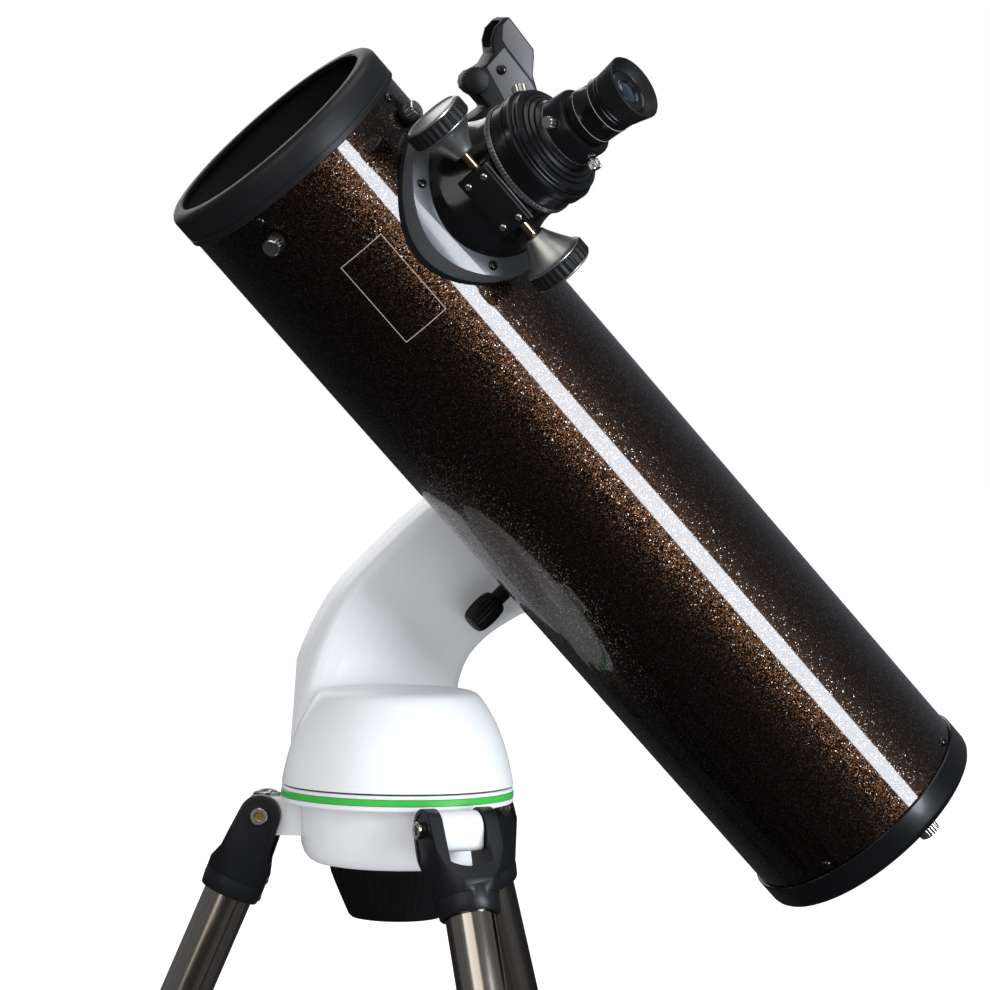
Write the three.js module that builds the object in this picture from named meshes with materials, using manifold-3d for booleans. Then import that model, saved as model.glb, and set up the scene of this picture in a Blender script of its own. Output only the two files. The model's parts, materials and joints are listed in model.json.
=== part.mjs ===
// Newtonian reflector telescope on a single-arm altazimuth mount and a three-leg steel tripod.
// Millimetres, +Z up. The optical tube points to -X and up, the arm stands behind it on the +Y side,
// and the origin is at ground level under the middle of the whole instrument.
import * as THREE from 'three';
import { mergeVertices } from 'three/addons/utils/BufferGeometryUtils.js';
import Module from 'manifold-3d';

const wasm = await Module();
wasm.setup();

// ---- driving dimensions -------------------------------------------------------------------------
const gap = 0.3;
const bigRound = 32;
const midRound = 20;
const legRound = 12;

const seam = { height: 690, radius: 74.6 };
const leg = {
  count: 3, firstAngle: 156.5, tilt: 22.7, pivotRadius: 86.7, pivotDrop: 20.6,
  tubeRadius: 15.875, tubeWall: 1.5, tubeStart: 30.6, tubeEnd: 560,
  lowerRadius: 12.7, lowerWall: 1.2, lowerStart: 150, lowerEnd: 703,
};
const clevis = { eyeRadius: 13.4, gapWidth: 30, width: 47, sleeveRadius: 19.6, slotDepth: 25, end: 57 };
const lug = { width: 28.8, eyeRadius: 11.4, inner: 50 };
const bolt = { radius: 3.2, headRadius: 5.6, headHeight: 4.2 };
const collar = { radius: 20.5, start: 545, end: 592, knobAt: 577, knobRadius: 12.5 };
const strut = {
  pivotX: -29, pivotZ: -568, tongue: 6, cheek: 2.6, height: 9, width: 7, eye: 6, rise: 30, hubRadius: 45,
};
const spreader = { radius: 50, thickness: 16, slotWidth: 10, slotInner: 21, bore: 5 };
const tray = {
  lift: 22, radius: 92, lobe: 13, plate: 9, floor: 4, rim: 4, pocket: 16.2, pocketCircle: 58, boss: 16,
};

const cup = { radius: 62.3, bottomRadius: 50, bottom: -51.3, bore: 6.6 };
const stripe = { top: -3.5, bottom: -7.6 };
const flangeBottom = -11.1;

const altitude = { x: 135.1, z: 164.4, elevation: 46.34 };
const arm = { front: 62, parting: 82, back: 108, edge: 8, wall: 4 };

const tube = { y: -38.3, radius: 80, wall: 1.4, front: 345.4, rear: -266.6 };
const ring = { radius: 82, lipRadius: 72, length: 22.8, rearLength: 20.3 };
const spiderAt = 303.1;
const focuserAt = 237.6;
const focuserAngle = 46.7;
const mirror = { radius: 65, thickness: 18, face: -226 };
const bar = { width: 44, neck: 37, length: 200, outer: 51.4, inner: 36 };
const pinion = { y: 33, z: 115.5, gearRadius: 4.5, shaftRadius: 2.8, reach: 64.4 };
const finderAngle = 7;

// ---- materials ----------------------------------------------------------------------------------
function material(color, roughness, metalness) {
  return new THREE.MeshStandardMaterial({ color, roughness, metalness });
}
const whitePlastic = material(0xe9eaec, 0.35, 0);
const greenPlastic = material(0x3cc04a, 0.4, 0);
const blackPlastic = material(0x1d1e20, 0.5, 0);
const charcoalPlastic = material(0x2b2d31, 0.55, 0);
const steel = material(0xb9b2a6, 0.22, 1);
const brightSteel = material(0xd6d4cf, 0.18, 1);
const rubber = material(0x17181a, 0.8, 0);
const tubePaint = material(0x1c1512, 0.25, 0.4);
const castBlack = material(0x242427, 0.4, 0.2);
const greyMetal = material(0x77787a, 0.35, 0.8);
const silvered = material(0xe6e9ec, 0.03, 1);
const brass = material(0xb08d4f, 0.35, 1);
const motorGrey = material(0x5d6064, 0.5, 0.4);

// ---- small tools --------------------------------------------------------------------------------
const rad = THREE.MathUtils.degToRad;

function merged(geometry) {
  const bare = geometry.clone();
  bare.deleteAttribute('normal');
  bare.deleteAttribute('uv');
  return mergeVertices(bare, 1e-4);
}

function toSolid(geometry) {
  const bare = merged(geometry);
  const index = bare.index.array;
  if (signedVolume(bare) < 0) {
    for (let i = 0; i < index.length; i += 3) {
      [index[i], index[i + 1]] = [index[i + 1], index[i]];
    }
  }
  return new wasm.Manifold(new wasm.Mesh({
    numProp: 3,
    vertProperties: new Float32Array(bare.attributes.position.array),
    triVerts: new Uint32Array(index),
  }));
}

function signedVolume(geometry) {
  const p = geometry.attributes.position;
  const index = geometry.index.array;
  const corners = [new THREE.Vector3(), new THREE.Vector3(), new THREE.Vector3()];
  let total = 0;
  for (let i = 0; i < index.length; i += 3) {
    corners.forEach((corner, k) => corner.fromBufferAttribute(p, index[i + k]));
    total += corners[0].dot(corners[1].cross(corners[2]));
  }
  return total;
}

function toGeometry(solid) {
  const mesh = solid.getMesh();
  const geometry = new THREE.BufferGeometry();
  geometry.setAttribute('position', new THREE.BufferAttribute(mesh.vertProperties, 3));
  geometry.setIndex(new THREE.BufferAttribute(mesh.triVerts, 1));
  geometry.computeVertexNormals();
  return geometry;
}

function join(...geometries) {
  return toGeometry(geometries.map(toSolid).reduce((all, next) => all.add(next)));
}

function cut(base, ...cutters) {
  return toGeometry(cutters.map(toSolid).reduce((all, next) => all.subtract(next), toSolid(base)));
}

function common(first, second) {
  return toGeometry(toSolid(first).intersect(toSolid(second)));
}

// a turned piece about +Z, from [radius, z] pairs given in order round the section
function turned(profile, segments = 20) {
  const points = profile.map(([r, z]) => new THREE.Vector2(r, z));
  const closed = profile[0][0] > 0 && profile[profile.length - 1][0] > 0;
  if (closed) {
    points.push(points[0].clone());
  }
  const geometry = new THREE.LatheGeometry(points, segments);
  geometry.rotateX(Math.PI / 2);
  return toGeometry(toSolid(geometry));
}

function ringOf(outer, inner, low, high, segments = 20) {
  return turned([[inner, low], [outer, low], [outer, high], [inner, high]], segments);
}

function rod(radius, low, high, segments = 12) {
  const geometry = new THREE.CylinderGeometry(radius, radius, high - low, segments);
  geometry.rotateX(Math.PI / 2);
  geometry.translate(0, 0, (low + high) / 2);
  return geometry;
}

// a rod along X, at a given y and z
function crossRod(radius, low, high, y, z, segments = 12) {
  return rod(radius, low, high, segments).rotateY(Math.PI / 2).translate(0, y, z);
}

// a rod along Y, at a given x and z
function throughRod(radius, low, high, x, z, segments = 12) {
  return rod(radius, low, high, segments).rotateX(-Math.PI / 2).translate(x, 0, z);
}

function block(x, y, z) {
  const geometry = new THREE.BoxGeometry(x[1] - x[0], y[1] - y[0], z[1] - z[0]);
  return geometry.translate((x[0] + x[1]) / 2, (y[0] + y[1]) / 2, (z[0] + z[1]) / 2);
}

function outline(points) {
  return new THREE.Shape(points.map(([x, y]) => new THREE.Vector2(x, y)));
}

// the outline's own points, without the doubles where two of its curves meet
function tidied(shape) {
  const points = shape.getPoints(4);
  const kept = points.filter((point, i) => point.distanceTo(points[(i + 1) % points.length]) > 0.01);
  return new THREE.Shape(kept);
}

// an outline in the XZ plane carried along Y, with its edges rounded over if edge is given
function carriedAlongY(shape, low, high, edge = 0, bevelSegments = 1) {
  const geometry = new THREE.ExtrudeGeometry(tidied(shape), {
    depth: high - low - 2 * edge, bevelEnabled: edge > 0, bevelThickness: edge, bevelSize: edge,
    bevelOffset: -edge, bevelSegments,
  });
  return geometry.rotateX(Math.PI / 2).translate(0, high - edge, 0);
}

// an outline in the XY plane carried along Z
function carriedAlongZ(shape, low, high) {
  const options = { depth: high - low, bevelEnabled: false };
  return new THREE.ExtrudeGeometry(tidied(shape), options).translate(0, 0, low);
}

// a round knob with scooped flutes, along +Z
function flutedKnob(radius, low, high, flutes, depth) {
  const shape = new THREE.Shape();
  const steps = flutes * 4;
  for (let i = 0; i < steps; i += 1) {
    const turn = (i / steps) * Math.PI * 2;
    const r = radius - depth * (0.5 - 0.5 * Math.cos(turn * flutes));
    const x = r * Math.cos(turn);
    const y = r * Math.sin(turn);
    if (i === 0) {
      shape.moveTo(x, y);
    } else {
      shape.lineTo(x, y);
    }
  }
  return carriedAlongZ(shape, low, high);
}

const assembly = new THREE.Group();

function add(parent, name, geometry, finish) {
  const mesh = new THREE.Mesh(geometry, finish);
  mesh.name = name;
  parent.add(mesh);
  return mesh;
}

// ---- tripod -------------------------------------------------------------------------------------
const head = new THREE.Group();
head.position.z = seam.height;
assembly.add(head);

function hubGeometry() {
  const groove = seam.radius - 1.6;
  const body = turned([
    [cup.bore, cup.bottom], [cup.bottomRadius, cup.bottom], [56.5, -48.6], [60.6, -43],
    [cup.radius, -35.5], [cup.radius, flangeBottom], [seam.radius, flangeBottom],
    [seam.radius, stripe.bottom - gap], [groove, stripe.bottom - gap], [groove, stripe.top + gap],
    [seam.radius, stripe.top + gap], [seam.radius, -1], [cup.bore, -1],
  ], midRound);
  const lugs = legAngles().map((angle) => {
    const shape = new THREE.Shape();
    shape.moveTo(lug.inner, -leg.pivotDrop - lug.eyeRadius);
    shape.lineTo(leg.pivotRadius, -leg.pivotDrop - lug.eyeRadius);
    shape.absarc(leg.pivotRadius, -leg.pivotDrop, lug.eyeRadius, -Math.PI / 2, Math.PI / 2, false);
    shape.lineTo(lug.inner, -leg.pivotDrop + lug.eyeRadius);
    const ear = carriedAlongY(shape, -lug.width / 2, lug.width / 2);
    const hole = throughRod(bolt.radius + gap, -40, 40, leg.pivotRadius, -leg.pivotDrop);
    return cut(ear, hole).rotateZ(angle);
  });
  const vial = rod(9.3, -12.5, -5, 16);
  vial.translate(bubblePlace().x, bubblePlace().y, 0);
  return cut(join(body, ...lugs), vial);
}

function legAngles() {
  return Array.from({ length: leg.count }, (_, k) => rad(leg.firstAngle + k * 120));
}

// the spirit level sits in the top of the first lug, clear of the clevis
function bubblePlace() {
  const angle = legAngles()[0];
  return { x: 84.5 * Math.cos(angle), y: 84.5 * Math.sin(angle) };
}

add(head, 'tripod_hub', hubGeometry(), whitePlastic);
const accentRing = ringOf(seam.radius + 0.4, seam.radius - 1.3, stripe.bottom, stripe.top, midRound);
add(head, 'accent_ring', accentRing, greenPlastic);

const level = add(head, 'bubble_level', turned([
  [0, -12.2], [9, -12.2], [9, -8.6], [8, -7.6], [0, -7.2],
], 16), greyMetal);
level.position.set(bubblePlace().x, bubblePlace().y, 0);

add(head, 'mount_knob', turned([
  [0, -86.5], [28.5, -86.5], [31, -84.5], [43, -56], [43, cup.bottom - gap],
  [cup.bore - gap, cup.bottom - gap], [cup.bore - gap, -4], [0, -4],
], 20), blackPlastic);

function clevisGeometry() {
  const side = new THREE.Shape();
  side.moveTo(-clevis.sleeveRadius, -clevis.end + 14);
  side.lineTo(-clevis.sleeveRadius, -34);
  side.lineTo(-clevis.eyeRadius, -8);
  side.lineTo(-clevis.eyeRadius, 0);
  side.absarc(0, 0, clevis.eyeRadius, Math.PI, 0, true);
  side.lineTo(clevis.eyeRadius, -8);
  side.lineTo(clevis.sleeveRadius, -34);
  side.lineTo(clevis.sleeveRadius, -clevis.end + 14);
  const ears = carriedAlongY(side, -clevis.width / 2, clevis.width / 2);
  const slot = block([-30, 30], [-clevis.gapWidth / 2, clevis.gapWidth / 2], [-clevis.slotDepth, 30]);
  const sleeve = rod(clevis.sleeveRadius, -clevis.end, -28, legRound);
  const bore = rod(leg.tubeRadius + gap, -clevis.end - 5, -leg.tubeStart + gap, legRound);
  const hole = throughRod(bolt.radius + gap, -40, 40, 0, 0);
  return cut(join(ears, sleeve), slot, bore, hole);
}

function pivotBoltGeometry() {
  const half = clevis.width / 2 + gap;
  return turned([
    [0, -half - 4.5], [5.2, -half - 4.5], [5.2, -half], [bolt.radius, -half], [bolt.radius, half],
    [bolt.headRadius, half], [bolt.headRadius, half + bolt.headHeight - 0.8],
    [bolt.headRadius - 0.8, half + bolt.headHeight], [2.2, half + bolt.headHeight],
    [2.2, half + 1.2], [0, half + 1.2],
  ], 8).rotateX(Math.PI / 2);
}

function collarGeometry() {
  const shell = turned([
    [leg.tubeRadius + gap, -leg.tubeEnd - gap], [leg.tubeRadius + gap, -collar.start],
    [collar.radius - 1.5, -collar.start], [collar.radius, -collar.start - 2],
    [collar.radius, -collar.end + 3], [collar.radius - 3, -collar.end], [leg.lowerRadius + gap, -collar.end],
    [leg.lowerRadius + gap, -leg.tubeEnd - gap],
  ], legRound);
  const boss = crossRod(8.5, 17, 23.5, 0, -collar.knobAt, 10);
  const tongue = block([strut.pivotX - 6, -17.5], [-strut.tongue / 2, strut.tongue / 2],
    [strut.pivotZ - 6, strut.pivotZ + 6]);
  const pinHole = throughRod(2.6, -10, 10, strut.pivotX, strut.pivotZ, 10);
  const screwHole = crossRod(3.4, leg.lowerRadius - 1, 30, 0, -collar.knobAt, 8);
  return cut(join(shell, boss, tongue), pinHole, screwHole);
}

function clampKnobGeometry() {
  const screw = rod(3, leg.lowerRadius + 1, 24.5, 8);
  const hub = turned([[0, 24], [6.5, 24], [8, 27], [8, 29.5], [0, 29.5]], 10);
  const grip = flutedKnob(collar.knobRadius, 29, 41, 6, 2.2);
  return join(screw, hub, grip).rotateY(Math.PI / 2).translate(0, 0, -collar.knobAt);
}

function footGeometry(angle) {
  const length = (seam.height - leg.pivotDrop) / Math.cos(rad(leg.tilt));
  const top = leg.lowerEnd - 17;
  const boot = turned([
    [0, -leg.lowerEnd - gap], [leg.lowerRadius + 0.25, -leg.lowerEnd - gap], [leg.lowerRadius + 0.25, -top],
    [15.2, -top], [15.8, -top - 14], [19.5, -leg.lowerEnd - 4], [20, -length - 20], [0, -length - 20],
  ], legRound);
  boot.rotateY(-rad(leg.tilt));
  boot.rotateZ(angle);
  const pivot = pivotPoint(angle);
  boot.translate(pivot.x, pivot.y, pivot.z);
  return cut(boot, block([-700, 700], [-700, 700], [-100, 0]));
}

function pivotPoint(angle) {
  return new THREE.Vector3(leg.pivotRadius * Math.cos(angle), leg.pivotRadius * Math.sin(angle),
    seam.height - leg.pivotDrop);
}

// how far in and down the strut's outer pivot lies from the leg's own pivot
function strutAnchor() {
  const tilt = rad(leg.tilt);
  const r = leg.pivotRadius + strut.pivotX * Math.cos(tilt) - strut.pivotZ * Math.sin(tilt);
  const z = seam.height - leg.pivotDrop + strut.pivotX * Math.sin(tilt) + strut.pivotZ * Math.cos(tilt);
  return { r, z };
}

const strutSpan = (strutAnchor().r - strut.hubRadius) / Math.cos(rad(strut.rise));
const hubHeight = strutAnchor().z + strutSpan * Math.sin(rad(strut.rise));

// a strut along X, with its fork round the collar's tongue at the origin and its eye at -strutSpan
function strutGeometry() {
  const inner = strut.tongue / 2 + gap;
  const outer = inner + strut.cheek;
  const half = strut.width / 2;
  const plan = outline([
    [6, inner], [6, outer], [-14, outer], [-20, half], [-strutSpan - strut.eye, half],
    [-strutSpan - strut.eye, -half], [-20, -half], [-14, -outer], [6, -outer], [6, -inner], [-9, -inner],
    [-9, inner],
  ]);
  const body = carriedAlongZ(plan, -strut.height / 2, strut.height / 2);
  const pin = throughRod(2.2, -outer + 0.5, outer - 0.5, 0, 0, 10);
  const eye = throughRod(2.6, -10, 10, -strutSpan, 0, 10);
  return cut(join(body, pin), eye);
}

legAngles().forEach((angle, k) => {
  const number = k + 1;
  const spoke = new THREE.Group();
  spoke.position.copy(pivotPoint(angle));
  spoke.rotation.z = angle;
  assembly.add(spoke);
  add(spoke, `leg_pivot_bolt_${number}`, pivotBoltGeometry(), brightSteel);
  const tilted = new THREE.Group();
  tilted.rotation.y = -rad(leg.tilt);
  spoke.add(tilted);
  add(tilted, `leg_clevis_${number}`, clevisGeometry(), charcoalPlastic);
  add(tilted, `upper_leg_${number}`, ringOf(leg.tubeRadius, leg.tubeRadius - leg.tubeWall, -leg.tubeEnd,
    -leg.tubeStart, legRound), steel);
  add(tilted, `lower_leg_${number}`, ringOf(leg.lowerRadius, leg.lowerRadius - leg.lowerWall, -leg.lowerEnd,
    -leg.lowerStart, legRound), brightSteel);
  add(tilted, `leg_collar_${number}`, collarGeometry(), charcoalPlastic);
  add(tilted, `leg_clamp_knob_${number}`, clampKnobGeometry(), blackPlastic);
  add(assembly, `leg_foot_${number}`, footGeometry(angle), rubber);
  const side = new THREE.Group();
  side.rotation.z = angle;
  assembly.add(side);
  const link = add(side, `spreader_strut_${number}`, strutGeometry(), blackPlastic);
  link.position.set(strutAnchor().r, 0, strutAnchor().z);
  link.rotation.y = rad(strut.rise);
});

// the spreader's middle: a round hub with three radial slots, the tray on a boss above it and its knob
function spreaderHubGeometry() {
  const half = spreader.thickness / 2;
  const edge = spreader.radius;
  const disc = turned([
    [spreader.bore, -half], [edge - 2, -half], [edge, -half + 2], [edge, half - 2], [edge - 2, half],
    [spreader.bore, half],
  ], 24);
  const slots = legAngles().map((angle) => {
    const wide = spreader.slotWidth / 2;
    return block([spreader.slotInner, edge + 10], [-wide, wide], [-20, 20]).rotateZ(angle);
  });
  return cut(disc, ...slots);
}

function trayGeometry() {
  const shape = new THREE.Shape();
  const rim = new THREE.Shape();
  const steps = 24;
  for (let i = 0; i < steps; i += 1) {
    const turn = (i / steps) * Math.PI * 2;
    const r = tray.radius - tray.lobe * Math.cos(3 * (turn - legAngles()[0]));
    const inner = r - tray.rim;
    const method = i === 0 ? 'moveTo' : 'lineTo';
    shape[method](r * Math.cos(turn), r * Math.sin(turn));
    rim[method](inner * Math.cos(turn), inner * Math.sin(turn));
  }
  const plate = carriedAlongZ(shape, 0, tray.plate);
  const recess = carriedAlongZ(rim, tray.floor, 20);
  const bossFoot = spreader.thickness / 2 + gap - tray.lift;
  const pockets = [0, 60, 120, 180, 240, 300].map((degrees) => {
    const turn = rad(leg.firstAngle + 30 + degrees);
    const place = [tray.pocketCircle * Math.cos(turn), tray.pocketCircle * Math.sin(turn), 0];
    return rod(tray.pocket, -5, 20, 12).translate(...place);
  });
  const screwHole = rod(spreader.bore, -30, 20, 12);
  return cut(join(cut(plate, recess), rod(tray.boss, bossFoot, tray.plate, 20)), screwHole, ...pockets);
}

function trayKnobGeometry() {
  const screw = rod(spreader.bore - 0.4, -tray.lift - spreader.thickness / 2, 1);
  return join(screw, rod(8, 0, 3, 12), flutedKnob(15, 2.5, 14, 5, 3.5));
}

add(assembly, 'spreader_hub', spreaderHubGeometry(), blackPlastic).position.z = hubHeight;
add(assembly, 'accessory_tray', trayGeometry(), charcoalPlastic).position.z = hubHeight + tray.lift;
const trayKnob = add(assembly, 'tray_knob', trayKnobGeometry(), blackPlastic);
trayKnob.position.z = hubHeight + tray.lift + tray.plate + gap;

// ---- mount --------------------------------------------------------------------------------------
const domeProfile = [
  [74.6, 0.6], [73.2, 9], [70, 22], [65.6, 34.6], [59.6, 46.5], [54.6, 54.2], [50, 58.8], [44, 60.6],
  [0, 60.9],
];
const domeWall = 3.2;

function domeGeometry() {
  const outer = domeProfile.slice().reverse();
  const inner = domeProfile.slice(0, -1).map(([r, z], i) => [r - domeWall, i === 0 ? z : z - domeWall / 2]);
  return turned([...outer, ...inner, [0, domeProfile[8][1] - domeWall]], midRound);
}

// the dome without its hollow, a little larger, to cut its neighbours with
function domeEnvelope() {
  const outer = domeProfile.map(([r, z]) => [r > 0 ? r + gap : 0, z + (z > 50 ? gap : 0)]);
  return turned([[0, -2], [seam.radius + gap, -2], ...outer], midRound);
}

// the arm seen along Y: a crescent that rises from the base and ends round the altitude axis
function armShape(inset = 0) {
  const points = ([x, z], side) => new THREE.Vector2(x + side * inset, z);
  const rightSide = [[64.2, 46], [65.6, 61], [72.8, 77.4], [88, 92], [109, 104.2]];
  const leftSide = [
    [84, 200], [48, 179.6], [10, 146.4], [-13.2, 121.6], [-30.7, 91.2], [-41.6, 60], [-49.4, 25],
  ];
  const right = new THREE.SplineCurve(rightSide.map((point) => points(point, -1)));
  const left = new THREE.SplineCurve(leftSide.map((point) => points(point, 1)));
  const tip = new THREE.EllipseCurve(altitude.x, altitude.z, 54 - inset, 54 - inset, rad(-92), rad(116));
  return new THREE.Shape([
    points([62, 2 + inset], -1), ...right.getPoints(7), ...tip.getPoints(12), ...left.getPoints(13),
    points([-52, 2 + inset], 1),
  ]);
}

// the arm's foot follows the round base and flares out above it
function armEnvelope() {
  return turned([[0, 1.2], [82, 1.2], [85, 4], [90, 30], [100, 60], [122, 92], [170, 120], [260, 140],
    [260, 240], [0, 240]], midRound);
}

function armSolid() {
  const full = carriedAlongY(armShape(), arm.front, arm.back, arm.edge, 2);
  return cut(common(full, armEnvelope()), domeEnvelope());
}

function armPocket() {
  const pocket = carriedAlongY(armShape(arm.wall + 3), arm.front + arm.wall, arm.back - arm.wall);
  const inside = turned([
    [0, 6], [76, 6], [78, 10], [84, 30], [94, 60], [116, 92], [164, 120], [254, 140], [254, 236], [0, 236],
  ], 20);
  const clear = turned([
    [0, -4], [seam.radius + 4, -4], [seam.radius + 3.5, 10], [72, 30], [60, 52], [50, 64], [0, 65],
  ], 20);
  return cut(common(pocket, inside), clear);
}

const armBody = armSolid();
const armHollow = armPocket();
const shaftHole = throughRod(11.6, 40, arm.parting + 1, altitude.x, altitude.z, 16);
const frontHalf = block([-300, 300], [0, arm.parting], [-50, 300]);
const rearHalf = block([-300, 300], [arm.parting + gap, 200], [-50, 300]);
const switchPlace = { x: 12, z: 40 };

function rearShellGeometry() {
  const socket = block([switchPlace.x - 12.5, switchPlace.x + 12.5], [arm.back - 12, arm.back + 20],
    [switchPlace.z - 8, switchPlace.z + 8]);
  return cut(common(armBody, rearHalf), armHollow, socket);
}

add(head, 'base_dome', domeGeometry(), whitePlastic);
add(head, 'arm_front_shell', cut(common(armBody, frontHalf), armHollow, shaftHole), whitePlastic);
add(head, 'arm_rear_shell', rearShellGeometry(), whitePlastic);

function gearGeometry(radius, teeth, depth, low, high, bore) {
  const shape = new THREE.Shape();
  for (let i = 0; i < teeth * 4; i += 1) {
    const turn = (i / (teeth * 4)) * Math.PI * 2;
    const r = i % 4 < 2 ? radius : radius - depth;
    const method = i === 0 ? 'moveTo' : 'lineTo';
    shape[method](r * Math.cos(turn), r * Math.sin(turn));
  }
  return cut(carriedAlongZ(shape, low, high), rod(bore, low - 5, high + 5, 16));
}

add(head, 'azimuth_gear', gearGeometry(44, 16, 1.8, -0.7, 8, 12), brass);
const azimuthMotor = join(
  rod(13, 9, 36, 16).translate(-24, -30, 0),
  block([-40, -8], [-46, -14], [8.6, 15]),
  crossRod(4, -30, 20, -50.2, 12, 10),
  block([-28, -18], [-54, -45], [8.6, 17]),
  block([12, 18], [-54.5, -46.5], [8.6, 17]),
);
add(head, 'azimuth_motor', azimuthMotor, motorGrey);

const rocker = new THREE.Shape();
rocker.moveTo(-9.6, 0);
rocker.lineTo(-9.6, 7.2);
rocker.lineTo(0, 4.8);
rocker.lineTo(9.6, 3.4);
rocker.lineTo(9.6, 0);
const switchButton = add(head, 'power_switch', carriedAlongZ(rocker, -6.6, 6.6), blackPlastic);
switchButton.position.set(switchPlace.x, arm.back - 5, switchPlace.z);

// ---- everything that turns about the altitude axis ----------------------------------------------
const tilting = new THREE.Group();
tilting.position.set(altitude.x, 0, altitude.z);
tilting.rotation.y = -rad(90 - altitude.elevation);
head.add(tilting);
// in this group +Z runs along the optical axis to the front, +X is the tube's upper side

const shaftAndWheel = join(
  throughRod(11, 60.9, 100, 0, 0, 16),
  gearGeometry(30, 14, 2, 0, 5, 4).rotateX(-Math.PI / 2).translate(0, 88, 0),
);
add(tilting, 'altitude_shaft', shaftAndWheel, motorGrey);

const knobY = 48.2;
function saddleGeometry() {
  const plate = throughRod(42, bar.outer + 0.5, 60.5, 0, 0, 28);
  const slab = block([-33, 33], [bar.outer + 0.5, 60.5], [-52, 52]);
  const lowJaw = block([-33, -bar.width / 2 - 0.6], [44.5, bar.outer + 1], [-52, 52]);
  const highJaw = block([bar.width / 2 + 0.6, 33], [44.5, bar.outer + 1], [-52, 52]);
  const boss = crossRod(8, -52, -32, knobY, 0, 14);
  const bossFoot = block([-50, -32], [knobY, 60.5], [-9, 9]);
  const screwHole = crossRod(4.4, -60, -20, knobY, 0);
  return cut(join(plate, slab, lowJaw, highJaw, boss, bossFoot), screwHole);
}
add(tilting, 'saddle', saddleGeometry(), blackPlastic);

function saddleKnobGeometry() {
  const screw = rod(4, bar.width / 2 + 0.4, 62);
  const neck = turned([[0, 61], [5.2, 61], [5.2, 71.5], [0, 71.5]], 12);
  const body = turned([[0, 71], [7.2, 71], [8.8, 73.5], [9.6, 80], [9.2, 91], [7.4, 94.5], [0, 95]], 14);
  return join(screw, neck, body).rotateY(-Math.PI / 2).translate(0, knobY, 0);
}
add(tilting, 'saddle_knob', saddleKnobGeometry(), blackPlastic);

// ---- optical tube -------------------------------------------------------------------------------
function dovetailGeometry() {
  const shape = outline([
    [-bar.neck / 2, bar.inner], [bar.neck / 2, bar.inner], [bar.neck / 2, 44], [bar.width / 2, bar.outer],
    [-bar.width / 2, bar.outer], [-bar.neck / 2, 44],
  ]);
  const blank = carriedAlongZ(shape, -bar.length / 2, bar.length / 2);
  return cut(blank, rod(tube.radius + gap, -200, 200, bigRound).translate(0, tube.y, 0));
}
add(tilting, 'dovetail_bar', dovetailGeometry(), blackPlastic);

const optics = new THREE.Group();
optics.position.y = tube.y;
tilting.add(optics);

// turns something built about +Z into the direction of a given angle round the tube
function aroundTube(geometry, degrees, along) {
  const turn = rad(degrees);
  const out = new THREE.Vector3(Math.cos(turn), -Math.sin(turn), 0);
  const forward = new THREE.Vector3(0, 0, 1);
  const side = new THREE.Vector3().crossVectors(out, forward);
  const basis = new THREE.Matrix4().makeBasis(forward, side, out);
  return geometry.clone().applyMatrix4(basis).translate(0, 0, along);
}

const vaneAngles = [45, 135, 225, 315];

function tubeGeometry() {
  const shell = ringOf(tube.radius, tube.radius - tube.wall, tube.rear + 4.4, tube.front - 2.4, bigRound);
  const port = aroundTube(rod(30.5, 40, 100, 20), focuserAngle, focuserAt);
  const holes = vaneAngles.map((angle) => aroundTube(rod(3, 60, 100, 10), angle, spiderAt));
  return cut(shell, port, ...holes);
}
add(optics, 'optical_tube', tubeGeometry(), tubePaint);

const ringBore = tube.radius + 0.35;
add(optics, 'front_ring', turned([
  [ring.lipRadius, tube.front - 2], [ringBore, tube.front - 2], [ringBore, tube.front - ring.length],
  [ring.radius, tube.front - ring.length], [ring.radius, tube.front - 5],
  [ring.radius - 2, tube.front - 1.4], [ring.radius - 5.5, tube.front], [ring.lipRadius, tube.front],
], bigRound), castBlack);

const collimationAngles = [80, 200, 320];

function rearCellGeometry() {
  const cap = turned([
    [30, tube.rear], [ring.radius - 5.5, tube.rear], [ring.radius - 1.6, tube.rear + 1.6],
    [ring.radius, tube.rear + 5.5], [ring.radius, tube.rear + ring.rearLength],
    [ringBore, tube.rear + ring.rearLength], [ringBore, tube.rear + 4], [30, tube.rear + 4],
  ], bigRound);
  const holes = collimationAngles.map((angle) => rod(3.3, tube.rear - 5, tube.rear + 10, 10)
    .translate(58 * Math.cos(rad(angle)), -58 * Math.sin(rad(angle)), 0));
  return cut(cap, ...holes);
}
add(optics, 'rear_cell', rearCellGeometry(), blackPlastic);

function mirrorCellGeometry() {
  const back = mirror.face - mirror.thickness - gap;
  const plate = turned([
    [18, back - 9], [66, back - 9], [70, back - 6], [70, back + 8], [mirror.radius + 0.8, back + 8],
    [mirror.radius + 0.8, back], [18, back],
  ], midRound);
  const holes = collimationAngles.map((angle) => rod(3.3, back - 20, back - 3, 10)
    .translate(58 * Math.cos(rad(angle)), -58 * Math.sin(rad(angle)), 0));
  return cut(plate, ...holes);
}
add(optics, 'mirror_cell', mirrorCellGeometry(), castBlack);
add(optics, 'primary_mirror', turned([
  [0, mirror.face - mirror.thickness], [mirror.radius, mirror.face - mirror.thickness],
  [mirror.radius, mirror.face], [36, mirror.face - 1.1], [0, mirror.face - 1.6],
], midRound), silvered);

collimationAngles.forEach((angle, k) => {
  const end = tube.rear;
  const back = mirror.face - mirror.thickness - gap;
  const knob = join(
    rod(2.9, end - 3, back - 4, 10),
    rod(7.2, end - 12, end - 1.2, 16),
  ).translate(58 * Math.cos(rad(angle)), -58 * Math.sin(rad(angle)), 0);
  add(optics, `collimation_knob_${k + 1}`, knob, brightSteel);
});

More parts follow.
